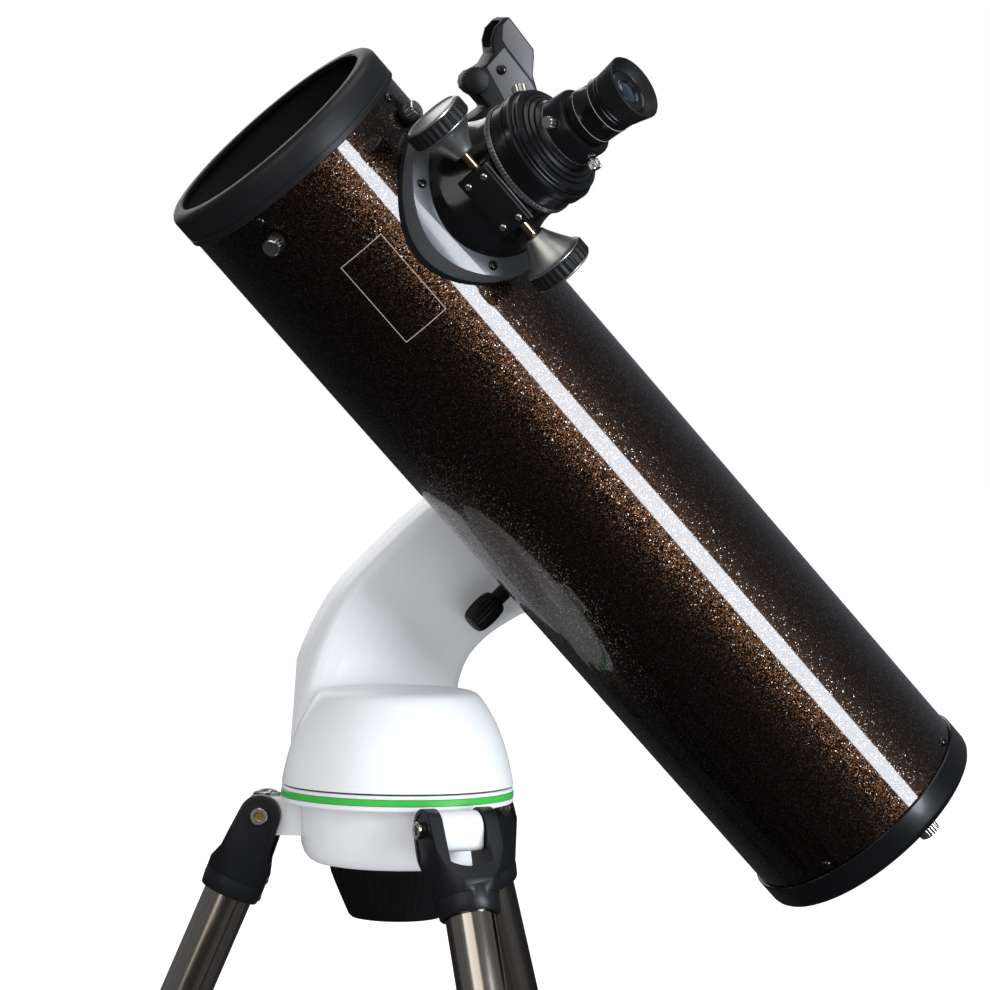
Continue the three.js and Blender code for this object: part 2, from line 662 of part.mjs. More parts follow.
function spiderGeometry() {
  const hub = turned([[3.4, spiderAt - 11], [13, spiderAt - 11], [14, spiderAt - 9], [14, spiderAt + 9],
    [12, spiderAt + 11], [3.4, spiderAt + 11]], 16);
  const arms = vaneAngles.map((angle) => {
    const vane = block([-7, 7], [-0.6, 0.6], [13, tube.radius - tube.wall - 0.6]);
    const stud = rod(2.4, tube.radius - 6, tube.radius + 2, 6);
    const base = rod(6.8, tube.radius + 0.8, tube.radius + 4.4, 10);
    const cap = turned([[0, tube.radius + 4], [5.8, tube.radius + 4], [5.8, tube.radius + 10.2],
      [4.8, tube.radius + 11.2], [0, tube.radius + 11.2]], 10);
    return aroundTube(join(vane, stud, base, cap), angle, spiderAt);
  });
  return join(hub, ...arms);
}
add(optics, 'spider', spiderGeometry(), greyMetal);

// the diagonal: a round stalk cut at 45 degrees, its flat facing both the focuser and the main mirror
function diagonalBlock(low, high) {
  const plane = block([-60, 60], [-60, 60], [low, high]).rotateY(-Math.PI / 4);
  return aroundTube(plane, focuserAngle, focuserAt);
}

function secondaryHolderGeometry() {
  const stem = join(
    rod(21, focuserAt - 30, spiderAt - 20, 20),
    rod(3, spiderAt - 22, spiderAt + 15, 10),
    rod(6, spiderAt + 11 + gap, spiderAt + 15, 12),
    rod(9, spiderAt - 20.5, spiderAt - 15, 12),
  );
  return cut(stem, diagonalBlock(-7.4, 200));
}

function secondaryMirrorGeometry() {
  return common(rod(22.3, focuserAt - 60, focuserAt + 60, 24), diagonalBlock(-7, 0));
}
add(optics, 'secondary_holder', secondaryHolderGeometry(), castBlack);
add(optics, 'secondary_mirror', secondaryMirrorGeometry(), silvered);

// ---- focuser: built about +Z, then turned into its place on the tube ----------------------------
function onFocuser(geometry) {
  return aroundTube(geometry, focuserAngle, focuserAt);
}

// in the focuser's own frame +X runs forward along the tube and +Y is the pinion's side
function focuserBaseGeometry() {
  const body = turned([
    [27.6, 60], [46, 60], [46, 89.5], [38.6, 108], [36, 116], [36, 126], [27.6, 126],
  ], midRound);
  // the flange bends round the tube
  const flange = common(rod(57.5, 50, 110, midRound), rod(91.4, -100, 100, bigRound).rotateY(Math.PI / 2));
  const housing = block([-22, 22], [20, pinion.y + 9], [103, 126]);
  const rackSlot = block([-4.2, 4.2], [20, 30], [60, 140]);
  const gearRoom = crossRod(pinion.gearRadius + 0.6, -8, 8, pinion.y, pinion.z);
  const shaftHole = crossRod(pinion.shaftRadius + 0.3, -40, 40, pinion.y, pinion.z);
  const solid = join(body, flange, housing);
  const bore = rod(27.6, 40, 140, midRound);
  const seat = rod(tube.radius + 0.4, -100, 100, bigRound).rotateY(Math.PI / 2);
  return cut(solid, bore, rackSlot, gearRoom, shaftHole, seat);
}
add(optics, 'focuser_base', onFocuser(focuserBaseGeometry()), castBlack);

function drawtubeGeometry() {
  const body = turned([
    [25.5, 86], [27.2, 86], [27.2, 131.6], [35.6, 133.6], [35.6, 139.8], [25.5, 139.8],
  ], 20);
  const rack = block([-3.6, 3.6], [25.8, 28.2], [88, 130]);
  return join(body, rack);
}
add(optics, 'drawtube', onFocuser(drawtubeGeometry()), castBlack);

function focusPinionGeometry() {
  const wheel = turned([
    [0, 33.5], [7.6, 33.5], [8.2, 36], [17.2, 51], [18.6, 52], [20.8, 53], [20.8, 62.4], [19.6, 63.8],
    [17.4, pinion.reach], [0, pinion.reach],
  ], 16);
  const otherWheel = wheel.clone().rotateY(Math.PI);
  return join(rod(pinion.shaftRadius, -36, 36, 10), rod(pinion.gearRadius, -7, 7, 10), wheel, otherWheel)
    .rotateY(Math.PI / 2).translate(0, pinion.y, pinion.z);
}
add(optics, 'focus_pinion', onFocuser(focusPinionGeometry()), greyMetal);

const setScrewAngle = 52;
function eyepieceHolderGeometry() {
  const body = turned([
    [16.05, 124], [24.9, 124], [24.9, 140.1], [37.6, 140.1], [38.2, 142], [38.2, 147], [35.4, 149],
    [35.4, 152.5], [32.4, 154.5], [30.4, 158], [23.6, 160], [22.4, 162], [22.4, 175], [21.6, 176],
    [16.05, 176],
  ], 18);
  const hole = crossRod(1.9, 10, 40, 0, 168, 6).rotateZ(rad(setScrewAngle));
  return cut(body, hole);
}
add(optics, 'eyepiece_holder', onFocuser(eyepieceHolderGeometry()), castBlack);

const setScrew = join(rod(1.6, 16.3, 24, 8), rod(4, 23.2, 29.5, 14)).rotateY(Math.PI / 2)
  .translate(0, 0, 168).rotateZ(rad(setScrewAngle));
add(optics, 'eyepiece_set_screw', onFocuser(setScrew), brightSteel);

add(optics, 'eyepiece', onFocuser(turned([
  [0, 152], [13, 152], [13, 149], [15.8, 149], [15.8, 176.3], [18, 176.3], [18.2, 178], [18.2, 202],
  [19, 204], [20.6, 213], [21, 217.4], [17.6, 217.4], [14, 211.5], [0, 211],
], 18)), blackPlastic);

// ---- red-dot finder: side view in (distance along the tube, height above the axis) ---------------
function finderGeometry() {
  const side = outline([
    [224, 104], [222, 97.5], [268, 97.5], [266, 104], [265, 113.4], [274, 113.4], [277.8, 112],
    [281.9, 111.6], [285.6, 113.4], [288, 116.8], [288.4, 120.9], [286.6, 124.6], [285.8, 131.3],
    [288, 138], [295, 142.8], [299.2, 149.2], [299.8, 157], [298.6, 161], [272.5, 159.6],
    [268.8, 156.8], [260.5, 148.4], [250.8, 144], [222, 135], [214, 128], [214, 110],
  ]);
  const body = carriedAlongY(side, -14, 14, 2);
  const tunnel = block([240, 320], [-10.5, 10.5], [131, 153]);
  const dialSeat = throughRod(3.4, 6, 20, 283.5, 117.5);
  const foot = block([226, 266], [-10, 10], [76, 98.5]);
  const whole = cut(join(body, foot), tunnel, dialSeat);
  const seat = crossRod(tube.radius + 0.5, 150, 350, 0, 0, bigRound);
  return cut(whole, seat);
}

// moves a side view drawn in (along, height) onto the tube at the finder's angle
function onFinder(geometry) {
  return aroundTube(geometry, finderAngle, 0);
}

const flangeRoom = onFocuser(rod(58.2, 30, 92.2, midRound));
add(optics, 'finder_body', cut(onFinder(finderGeometry()), flangeRoom), blackPlastic);

const dialCap = turned([[0, 1.6], [8.4, 1.6], [9, 2.4], [9, 6.6], [8, 8], [0, 8.4]], 16);
const finderDial = join(rod(3, -5, 2, 8), dialCap).rotateX(-Math.PI / 2).translate(283.5, 12.8, 117.5);
add(optics, 'finder_dial', onFinder(finderDial), blackPlastic);

// ---- stand the whole instrument over the origin --------------------------------------------------
assembly.updateMatrixWorld(true);
const bounds = new THREE.Box3().setFromObject(assembly, true);
const centre = bounds.getCenter(new THREE.Vector3());
assembly.position.set(-centre.x, -centre.y, -bounds.min.z);

export default assembly;
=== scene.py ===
# Newtonian reflector telescope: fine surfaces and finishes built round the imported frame.
import json
from math import asin, atan2, cos, degrees, hypot, pi, radians, sin
from types import SimpleNamespace as Sizes
import bpy
from mathutils import Matrix, Vector


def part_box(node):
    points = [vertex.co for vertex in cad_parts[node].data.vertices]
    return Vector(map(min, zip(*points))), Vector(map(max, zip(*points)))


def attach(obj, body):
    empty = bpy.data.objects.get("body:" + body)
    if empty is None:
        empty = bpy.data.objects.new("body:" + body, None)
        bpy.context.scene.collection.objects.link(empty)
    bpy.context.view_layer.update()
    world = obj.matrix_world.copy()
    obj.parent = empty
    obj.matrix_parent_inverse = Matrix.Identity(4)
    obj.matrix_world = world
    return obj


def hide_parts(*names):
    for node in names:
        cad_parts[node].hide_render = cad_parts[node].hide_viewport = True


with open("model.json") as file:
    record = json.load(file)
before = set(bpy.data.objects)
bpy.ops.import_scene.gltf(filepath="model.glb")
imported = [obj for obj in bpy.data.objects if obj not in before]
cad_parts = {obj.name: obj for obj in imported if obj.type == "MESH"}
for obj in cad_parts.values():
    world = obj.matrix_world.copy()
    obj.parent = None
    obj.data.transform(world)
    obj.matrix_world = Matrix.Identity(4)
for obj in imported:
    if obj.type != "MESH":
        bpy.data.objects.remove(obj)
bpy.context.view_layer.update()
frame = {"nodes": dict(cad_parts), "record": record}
mm = 0.001
joints = {joint["name"]: joint for joint in frame["record"]["behaviour"]["joints"]}
print("stage: frame loaded,", len(frame["nodes"]), "nodes")


# ---- places, all taken from the frame's joints
def pivotOf(name):
    return Vector(joints[name]["pos_m"])


def axisOf(name):
    return Vector(joints[name]["axis"]).normalized()


def frameAt(origin, x, y, z):
    return Matrix.Translation(origin) @ Matrix((x, y, z)).transposed().to_4x4()


across = Vector((0, 1, 0))
forward = axisOf("tube_slide")
upper = across.cross(forward)
mountOrigin = pivotOf("azimuth_turn")
mountFrame = Matrix.Translation(mountOrigin)
ringLow, ringHigh = (Vector(corner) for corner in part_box("front_ring"))
altitudeAxis = pivotOf("altitude_tilt")
tubeOrigin = Vector((altitudeAxis.x, (ringLow.y + ringHigh.y) / 2, altitudeAxis.z))
tubeFrame = frameAt(tubeOrigin, upper, across, forward)
focusOut = axisOf("focus_travel")
focuserAt = (pivotOf("focus_wheel_turn") - tubeOrigin).dot(forward)
focuserFrame = frameAt(tubeOrigin + forward * focuserAt, forward, focusOut.cross(forward), focusOut)
finderSide = axisOf("finder_dial_turn")
finderFrame = frameAt(tubeOrigin, forward, finderSide, forward.cross(finderSide))


# z points out of the tube at that angle, in degrees, from its upper side, x runs forward along it
def aroundTube(angle, along):
    turn = radians(angle)
    out = upper * cos(turn) - across * sin(turn)
    return frameAt(tubeOrigin + forward * along * mm, forward, out.cross(forward), out)


# z runs up the leg, x points outwards, y is the fold axis
def legFrame(number):
    fold, up = axisOf(f"leg_fold_{number}"), -axisOf(f"leg_extend_{number}")
    return frameAt(pivotOf(f"leg_fold_{number}"), fold.cross(up), fold, up)


# the mount's own frame turned so that x points at one leg
def spokeFrame(number):
    fold = axisOf(f"leg_fold_{number}")
    return frameAt(mountOrigin, fold.cross(Vector((0, 0, 1))), fold, Vector((0, 0, 1)))


# ---- modelling helpers
def pickOnly(piece):
    bpy.ops.object.select_all(action="DESELECT")
    piece.select_set(True)
    bpy.context.view_layer.objects.active = piece


def applyModifier(piece, kind, **settings):
    modifier = piece.modifiers.new("step", kind)
    for key, value in settings.items():
        setattr(modifier, key, value)
    pickOnly(piece)
    bpy.ops.object.modifier_apply(modifier="step")
    return piece


# a section of (radius, height) points in mm spun round z
def turned(name, section, steps=72):
    bpy.ops.object.select_all(action="DESELECT")
    bpy.ops.mesh.primitive_circle_add(vertices=len(section), radius=1)
    piece = bpy.context.object
    piece.name = name
    for vertex, (radius, height) in zip(piece.data.vertices, section):
        vertex.co = (radius * mm, 0, height * mm)
    bpy.ops.object.mode_set(mode="EDIT")
    bpy.ops.mesh.select_all(action="SELECT")
    bpy.ops.mesh.spin(steps=steps, angle=2 * pi, center=(0, 0, 0), axis=(0, 0, 1))
    bpy.ops.mesh.select_all(action="SELECT")
    bpy.ops.mesh.remove_doubles(threshold=1e-6)
    bpy.ops.mesh.delete_loose(use_verts=True, use_edges=True, use_faces=False)
    bpy.ops.mesh.select_all(action="SELECT")
    bpy.ops.mesh.normals_make_consistent(inside=False)
    bpy.ops.object.mode_set(mode="OBJECT")
    return piece


# points on an arc, at angles in degrees
def arc(radius, angles, x=0, y=0):
    return [(x + radius * cos(radians(a)), y + radius * sin(radians(a))) for a in angles]


# an outline of (x, y) points in mm carried from one height to another
def plate(name, outline, low, high):
    bpy.ops.object.select_all(action="DESELECT")
    bpy.ops.mesh.primitive_circle_add(vertices=len(outline), radius=1, fill_type="NGON")
    piece = bpy.context.object
    piece.name = name
    for vertex, (x, y) in zip(piece.data.vertices, outline):
        vertex.co = (x * mm, y * mm, low * mm)
    bpy.ops.object.mode_set(mode="EDIT")
    bpy.ops.mesh.select_all(action="SELECT")
    bpy.ops.mesh.extrude_region_move(TRANSFORM_OT_translate={"value": (0, 0, (high - low) * mm)})
    bpy.ops.mesh.select_all(action="SELECT")
    bpy.ops.mesh.normals_make_consistent(inside=False)
    bpy.ops.object.mode_set(mode="OBJECT")
    return piece


# the same outline, but drawn in x and z and carried along y
def sidePlate(name, outline, low, high):
    piece = plate(name, outline, -high, -low)
    return turnTo(piece, "X", 90)


def block(name, x, y, z):
    return plate(name, [(x[0], y[0]), (x[1], y[0]), (x[1], y[1]), (x[0], y[1])], z[0], z[1])


def bar(name, radius, low, high, steps=32):
    return turned(name, [(0, low), (radius, low), (radius, high), (0, high)], steps)


def rounded(piece, width, segments=3, angle=32):
    return applyModifier(piece, "BEVEL", width=width * mm, segments=segments, limit_method="ANGLE",
                         angle_limit=radians(angle))


def discard(*pieces):
    for piece in pieces:
        bpy.data.objects.remove(piece)


def combine(piece, other, operation):
    applyModifier(piece, "BOOLEAN", object=other, operation=operation, solver="EXACT")
    discard(other)
    return piece


def cut(piece, other):
    return combine(piece, other, "DIFFERENCE")


def keep(piece, other):
    return combine(piece, other, "INTERSECT")


def fuse(piece, other):
    return combine(piece, other, "UNION")


def turnTo(piece, axis, angle):
    piece.data.transform(Matrix.Rotation(radians(angle), 4, axis))
    return piece


def moved(piece, x, y, z):
    piece.data.transform(Matrix.Translation((x * mm, y * mm, z * mm)))
    return piece


def copied(piece, name):
    twin = piece.copy()
    twin.data = piece.data.copy()
    twin.name = name
    bpy.context.collection.objects.link(twin)
    return twin


def joined(pieces):
    bpy.ops.object.select_all(action="DESELECT")
    for piece in pieces:
        piece.select_set(True)
    bpy.context.view_layer.objects.active = pieces[0]
    bpy.ops.object.join()
    return pieces[0]


# pulls a turned face in and out round the axis, for grips and knurls
def fluted(piece, count, depth, low, high, inside=0):
    for vertex in piece.data.vertices:
        radius = hypot(vertex.co.x, vertex.co.y)
        if low * mm <= vertex.co.z <= high * mm and radius > inside * mm:
            turn = atan2(vertex.co.y, vertex.co.x)
            scale = 1 - depth * mm / radius * (0.5 - 0.5 * cos(count * turn))
            vertex.co.x *= scale
            vertex.co.y *= scale
    return piece


def finish(piece, place, surface, replaced=(), body="telescope", angle=35):
    piece.data.transform(place)
    piece.data.materials.clear()
    piece.data.materials.append(surface)
    pickOnly(piece)
    bpy.ops.object.shade_smooth_by_angle(angle=radians(angle))
    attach(piece, body)
    if replaced:
        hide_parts(*replaced)
    return piece


# ---- materials
def linear(code):
    parts = [int(code[i:i + 2], 16) / 255 for i in (1, 3, 5)]
    return [part / 12.92 if part <= 0.04045 else ((part + 0.055) / 1.055) ** 2.4 for part in parts] + [1]


def newSurface(name, **values):
    surface = bpy.data.materials.new(name)
    surface.use_nodes = True
    shader = surface.node_tree.nodes["Principled BSDF"]
    for key, value in values.items():
        shader.inputs[key.replace("_", " ")].default_value = value
    return surface, shader


# adds a node, sets its values or properties, and links its inputs
def addNode(surface, kind, values, links=()):
    made = surface.node_tree.nodes.new("ShaderNode" + kind)
    for key, value in values.items():
        if isinstance(key, int) or key in made.inputs:
            made.inputs[key].default_value = value
        else:
            setattr(made, key, value)
    for source, target in links:
        surface.node_tree.links.new(source, made.inputs[target])
    return made


def feed(surface, output, shader, name):
    surface.node_tree.links.new(output, shader.inputs[name])


# moulded plastic: a fine spark-eroded grain and slow changes of gloss
def mouldedPlastic(name, code, roughness, grain, depth, gloss=0.0, shine=0.5):
    surface, shader = newSurface(name, IOR=1.5, Coat_Weight=gloss, Coat_Roughness=0.12,
        Specular_IOR_Level=shine)
    place = addNode(surface, "TexCoord", {})
    fine = addNode(surface, "TexNoise", {"Scale": 1 / (grain * mm), "Detail": 3, "Roughness": 0.6},
                   [(place.outputs["Object"], "Vector")])
    slow = addNode(surface, "TexNoise", {"Scale": 1 / (38 * mm), "Detail": 4, "Roughness": 0.55},
                   [(place.outputs["Object"], "Vector")])
    matt = addNode(surface, "MapRange", {"From Min": 0.3, "From Max": 0.7, "To Min": roughness - 0.05,
                                         "To Max": roughness + 0.07}, [(slow.outputs[0], "Value")])
    base = linear(code)
    darker = [part * 0.9 for part in base[:3]] + [1]
    tint = addNode(surface, "Mix", {"data_type": "RGBA", 6: base, 7: darker}, [(slow.outputs[0], 0)])
    bump = addNode(surface, "Bump", {"Strength": 0.6, "Distance": depth * mm},
                   [(fine.outputs[0], "Height")])
    feed(surface, tint.outputs[2], shader, "Base Color")
    feed(surface, matt.outputs[0], shader, "Roughness")
    feed(surface, bump.outputs[0], shader, "Normal")
    return surface


# metal with fine line marks along one direction, as turning, drawing or brushing leaves them; on the legs the
# broad, leg-long marks are painted reflection streaks
def metalWithLinesAndPaintedStreaks(name, code, otherCode, roughness, direction, lineWidth, lineLength, depth=0.004):
    surface, shader = newSurface(name, Metallic=1.0)
    place = addNode(surface, "TexCoord", {})
    turn = Vector(direction).to_track_quat("Z", "Y").inverted().to_euler()
    aligned = addNode(surface, "Mapping", {"Rotation": turn}, [(place.outputs["Object"], "Vector")])
    stretch = [1 / (lineWidth * mm), 1 / (lineWidth * mm), 1 / (lineLength * mm)]
    scaled = addNode(surface, "Mapping", {"Scale": stretch}, [(aligned.outputs[0], "Vector")])
    linesAndPaintedStreaks = addNode(surface, "TexNoise", {"Scale": 1, "Detail": 3, "Roughness": 0.55},
                    [(scaled.outputs[0], "Vector")])
    smears = addNode(surface, "TexNoise", {"Scale": 1 / (55 * mm), "Detail": 3},
                     [(place.outputs["Object"], "Vector")])
    tint = addNode(surface, "Mix", {"data_type": "RGBA", 6: linear(code), 7: linear(otherCode)},
                   [(linesAndPaintedStreaks.outputs[0], 0)])
    shine = addNode(surface, "MapRange", {"From Min": 0.3, "From Max": 0.7, "To Min": roughness * 0.75,
                                          "To Max": roughness * 1.35}, [(smears.outputs[0], "Value")])
    bump = addNode(surface, "Bump", {"Strength": 0.5, "Distance": depth * mm},
                   [(linesAndPaintedStreaks.outputs[0], "Height")])
    feed(surface, tint.outputs[2], shader, "Base Color")
    feed(surface, shine.outputs[0], shader, "Roughness")
    feed(surface, bump.outputs[0], shader, "Normal")
    return surface


# metallic lacquer: dark base, bronze flakes that each lie at their own angle, and a clear coat
def flakeLacquer(name):
    surface, shader = newSurface(name, Metallic=1.0, IOR=1.5, Coat_Weight=0.9, Coat_Roughness=0.05,
        Coat_IOR=1.5)
    place = addNode(surface, "TexCoord", {})
    flakeSize = 0.62  # mm; the real flakes are about 0.1 mm, drawn coarse enough to show
    flakes = addNode(surface, "TexVoronoi", {"Scale": 1 / (flakeSize * mm)},
                     [(place.outputs["Object"], "Vector")])
    split = addNode(surface, "SeparateColor", {}, [(flakes.outputs["Color"], 0)])
    share = addNode(surface, "MapRange", {"From Min": 0.35, "From Max": 1.0}, [(split.outputs[0], "Value")])
    tint = addNode(surface, "Mix", {"data_type": "RGBA", 6: linear("#110a06"), 7: linear("#49301e")},
                   [(share.outputs[0], 0)])
    silver = addNode(surface, "MapRange", {"From Min": 0.9, "From Max": 1.0}, [(split.outputs[1], "Value")])
    both = addNode(surface, "Mix", {"data_type": "RGBA", 7: linear("#8d8783")},
                   [(silver.outputs[0], 0), (tint.outputs[2], 6)])
    matt = addNode(surface, "MapRange", {"To Min": 0.42, "To Max": 0.3}, [(split.outputs[1], "Value")])
    face = addNode(surface, "NewGeometry", {})
    middle = addNode(surface, "VectorMath", {"operation": "SUBTRACT", 1: (0.5, 0.5, 0.5)},
                     [(flakes.outputs["Color"], 0)])
    lean = addNode(surface, "VectorMath", {"operation": "MULTIPLY_ADD", 1: (0.34, 0.34, 0.34)},
                   [(middle.outputs[0], 0), (face.outputs["Normal"], 2)])
    unit = addNode(surface, "VectorMath", {"operation": "NORMALIZE"}, [(lean.outputs[0], 0)])
    feed(surface, both.outputs[2], shader, "Base Color")
    feed(surface, matt.outputs[0], shader, "Roughness")
    feed(surface, unit.outputs[0], shader, "Normal")
    return surface


# vacuum-silvered glass, with a faint haze of dust
def silveredGlass(name):
    surface, shader = newSurface(name, Base_Color=linear("#e8ecef"), Metallic=1.0)
    place = addNode(surface, "TexCoord", {})
    dust = addNode(surface, "TexNoise", {"Scale": 1 / (1.5 * mm), "Detail": 5},
                   [(place.outputs["Object"], "Vector")])
    haze = addNode(surface, "MapRange", {"From Min": 0.55, "From Max": 0.8, "To Min": 0.02, "To Max": 0.14},
                   [(dust.outputs[0], "Value")])
    feed(surface, haze.outputs[0], shader, "Roughness")
    return surface


# coated lens: dark below, with a violet-green sheen that changes over its face
def coatedLens(name):
    surface, shader = newSurface(name, IOR=1.6, Coat_Weight=1.0, Coat_Roughness=0.02)
    face = addNode(surface, "LayerWeight", {"Blend": 0.4})
    tint = addNode(surface, "Mix", {"data_type": "RGBA", 6: linear("#0b0d14"), 7: linear("#2b3a4c")},
                   [(face.outputs["Facing"], 0)])
    place = addNode(surface, "TexCoord", {})
    dust = addNode(surface, "TexNoise", {"Scale": 1 / (2 * mm)}, [(place.outputs["Object"], "Vector")])
    haze = addNode(surface, "MapRange", {"To Min": 0.03, "To Max": 0.1}, [(dust.outputs[0], "Value")])
    feed(surface, tint.outputs[2], shader, "Base Color")
    feed(surface, haze.outputs[0], shader, "Roughness")
    return surface


whiteAbs = mouldedPlastic("mouldedWhiteAbs", "#dbdcde", 0.36, 0.5, 0.004, 0.2)  # satin, soft wide highlights
greenAbs = mouldedPlastic("mouldedGreenAbs", "#2fae3c", 0.4, 0.6, 0.005)  # clear even green
blackNylon = mouldedPlastic("mouldedBlackNylon", "#0b0b0c", 0.46, 0.7, 0.02, 0, 0.26)  # dull, faint grain
charcoalNylon = mouldedPlastic("mouldedCharcoalNylon", "#131417", 0.4, 0.9, 0.03, 0, 0.34)  # glass-filled
ringAbs = mouldedPlastic("grainedRingAbs", "#121214", 0.44, 0.9, 0.06, 0, 0.34)  # grained to a soft grey
footRubber = mouldedPlastic("mouldedFootRubber", "#121212", 0.78, 1.2, 0.05)  # matt, dusty
gripRubber = mouldedPlastic("mouldedGripRubber", "#0f1011", 0.5, 0.8, 0.02, 0, 0.3)  # matt, slight sheen
innerBlack = mouldedPlastic("sprayedInnerBlack", "#070709", 0.7, 1.0, 0.06)  # stray-light paint, dead matt
castGloss = mouldedPlastic("powderCoatedCastGloss", "#060607", 0.2, 2.2, 0.01, 0.7, 0.3)  # wet, slight peel
castSatin = mouldedPlastic("powderCoatedCastSatin", "#09090b", 0.3, 1.4, 0.012, 0.15, 0.28)  # satin black
panelGrey = mouldedPlastic("mouldedPanelGrey", "#5c5b5e", 0.55, 0.8, 0.01)  # flat mid grey
printedLine = mouldedPlastic("printedPaleLine", "#8f857a", 0.5, 0.6, 0.003)  # thin pale ink
vialClear = mouldedPlastic("mouldedVialClear", "#9fa79a", 0.12, 2.0, 0.002, 1.0)  # clear over pale liquid
flangeGrey = mouldedPlastic("paintedGreyFlange", "#3c3d40", 0.3, 1.2, 0.01, 0.35)  # satin lacquer
tubeLacquer = flakeLacquer("metallicBronzeLacquer")
shaftSteel = metalWithLinesAndPaintedStreaks("groundShaftSteel", "#d9bfa4", "#a98565", 0.22, forward, 0.8, 40)  # warm bright pin
wheelAluminium = metalWithLinesAndPaintedStreaks("turnedWheelAluminium", "#d6d5d2", "#b4b2ae", 0.34, focusOut, 0.4, 6)  # bright
darkKnurl = metalWithLinesAndPaintedStreaks("oxidisedKnurlSteel", "#a5a5a3", "#6c6d6e", 0.32, focusOut, 0.4, 2)  # worn on top
boltChrome = metalWithLinesAndPaintedStreaks("platedBoltChrome", "#dedcd6", "#c0bdb5", 0.2, (0, 0, 1), 0.6, 3)  # bright nickel
socketBrass = metalWithLinesAndPaintedStreaks("platedSocketGold", "#b59a62", "#8d7444", 0.3, (0, 0, 1), 0.5, 2)  # warm hollow
gearBrass = metalWithLinesAndPaintedStreaks("machinedGearBrass", "#b08d4f", "#94733a", 0.3, (0, 0, 1), 0.5, 6)
motorSteel = metalWithLinesAndPaintedStreaks("rolledMotorSteel", "#85878a", "#6a6c6f", 0.34, (0, 0, 1), 0.5, 12)
vaneMetal = mouldedPlastic("paintedVaneBlack", "#0c0c0d", 0.6, 0.8, 0.02)  # matt stove paint on thin steel
mirrorFace = silveredGlass("silveredMirrorGlass")
lensGlass = coatedLens("coatedLensGlass")
# the leg steel's long cream and dark-gold streaks along each leg are painted reflections, drawn into the
# metal's colour
legSteelPaintedStreaks = [metalWithLinesAndPaintedStreaks(f"polishedTubeSteelPaintedStreaks{number}", "#f2ece2", "#6f583a", 0.15,
    axisOf(f"leg_extend_{number}"), 3.6, 1200) for number in (1, 2, 3)]
print("stage: materials made")

# nodes whose own shape stays: they only take a finish
keptNodes = {
    "azimuth_gear": gearBrass, "azimuth_motor": motorSteel, "altitude_shaft": motorSteel,
    "saddle": castSatin, "dovetail_bar": castSatin, "mirror_cell": castSatin,
    "secondary_holder": blackNylon, "secondary_mirror": mirrorFace, "power_switch": blackNylon,
}
for number in (1, 2, 3):
    keptNodes[f"spreader_strut_{number}"] = blackNylon
for nodeName, surface in keptNodes.items():
    nodeMesh = frame["nodes"][nodeName].data
    nodeMesh.materials.clear()
    nodeMesh.materials.append(surface)


# ---- tripod head
hubSizes = {"radius": 74.6, "cup": 62.3, "flange": -11.1, "bottom": -51.3, "bore": 6.6, "pivot": 86.7,
            "drop": 20.6, "lug": 11.4, "width": 28.8}


def makeHub():
    s = Sizes(**hubSizes)
    body = turned("tripodHub", [(s.bore, s.bottom), (s.cup - 15, s.bottom), (s.cup - 9.5, -50.3),
        (s.cup - 5.6, -48), (s.cup - 2.6, -44), (s.cup - 0.8, -39), (s.cup, -33), (s.cup, s.flange + 0.6),
        (s.cup + 0.6, s.flange), (s.radius - 0.8, s.flange), (s.radius, s.flange + 0.8), (s.radius, -7.9),
        (s.radius - 1.6, -7.9), (s.radius - 1.6, -3.2), (s.radius, -3.2), (s.radius, -1.6),
        (s.radius - 0.6, -1), (s.bore, -1)], 128)
    for number in (1, 2, 3):
        high, low, tip = -s.drop + s.lug, -s.drop - s.lug - 1.8, s.pivot + s.lug
        side = [(50, low), (tip - 4, low)]
        side += arc(4, range(-75, 1, 15), tip - 4, low + 4)
        side += arc(s.lug, range(6, 91, 12), s.pivot, -s.drop) + [(50, high)]
        lug = sidePlate("lug", side, -s.width / 2, s.width / 2)
        rounded(lug, 1.2, 3)
        lug.data.transform(mountFrame.inverted() @ spokeFrame(number))
        fuse(body, lug)
    place = mountFrame.inverted() @ spokeFrame(1)
    vialRoom = bar("vialRoom", 9.3, -12.5, 0)
    vialRoom.data.transform(place @ Matrix.Translation((84.5 * mm, 0, 0)))
    cut(body, vialRoom)
    finish(body, mountFrame, whiteAbs, ["tripod_hub"], "tripod_head")
    ring = turned("greenRing", [(s.radius - 1.3, -7.6), (s.radius, -7.6), (s.radius + 0.4, -7.2),
        (s.radius + 0.4, -3.9), (s.radius, -3.5), (s.radius - 1.3, -3.5)], 128)
    finish(ring, mountFrame, greenAbs, ["accent_ring"], "tripod_head")
    vialPlace = spokeFrame(1) @ Matrix.Translation((84.5 * mm, 0, 0))
    level = turned("bubbleLevel", [(0, -12.2), (9, -12.2), (9, -8.4), (8.4, -7.8), (7.4, -7.8), (7.2, -8.4),
        (5, -7.7), (0, -7.2)], 48)
    finish(level, vialPlace, vialClear, ["bubble_level"], "tripod_head")
    rim = turned("bubbleLevelRim", [(7.4, -8.6), (9, -8.6), (9, -7.4), (8.6, -7), (7.8, -7), (7.4, -7.4)], 48)
    finish(rim, vialPlace, boltChrome, body="tripod_head")
    mark = turned("bubbleLevelMark", [(2.8, -7.7), (3.3, -7.7), (3.3, -7.35), (2.8, -7.35)], 32)
    finish(mark, vialPlace, blackNylon, body="tripod_head")


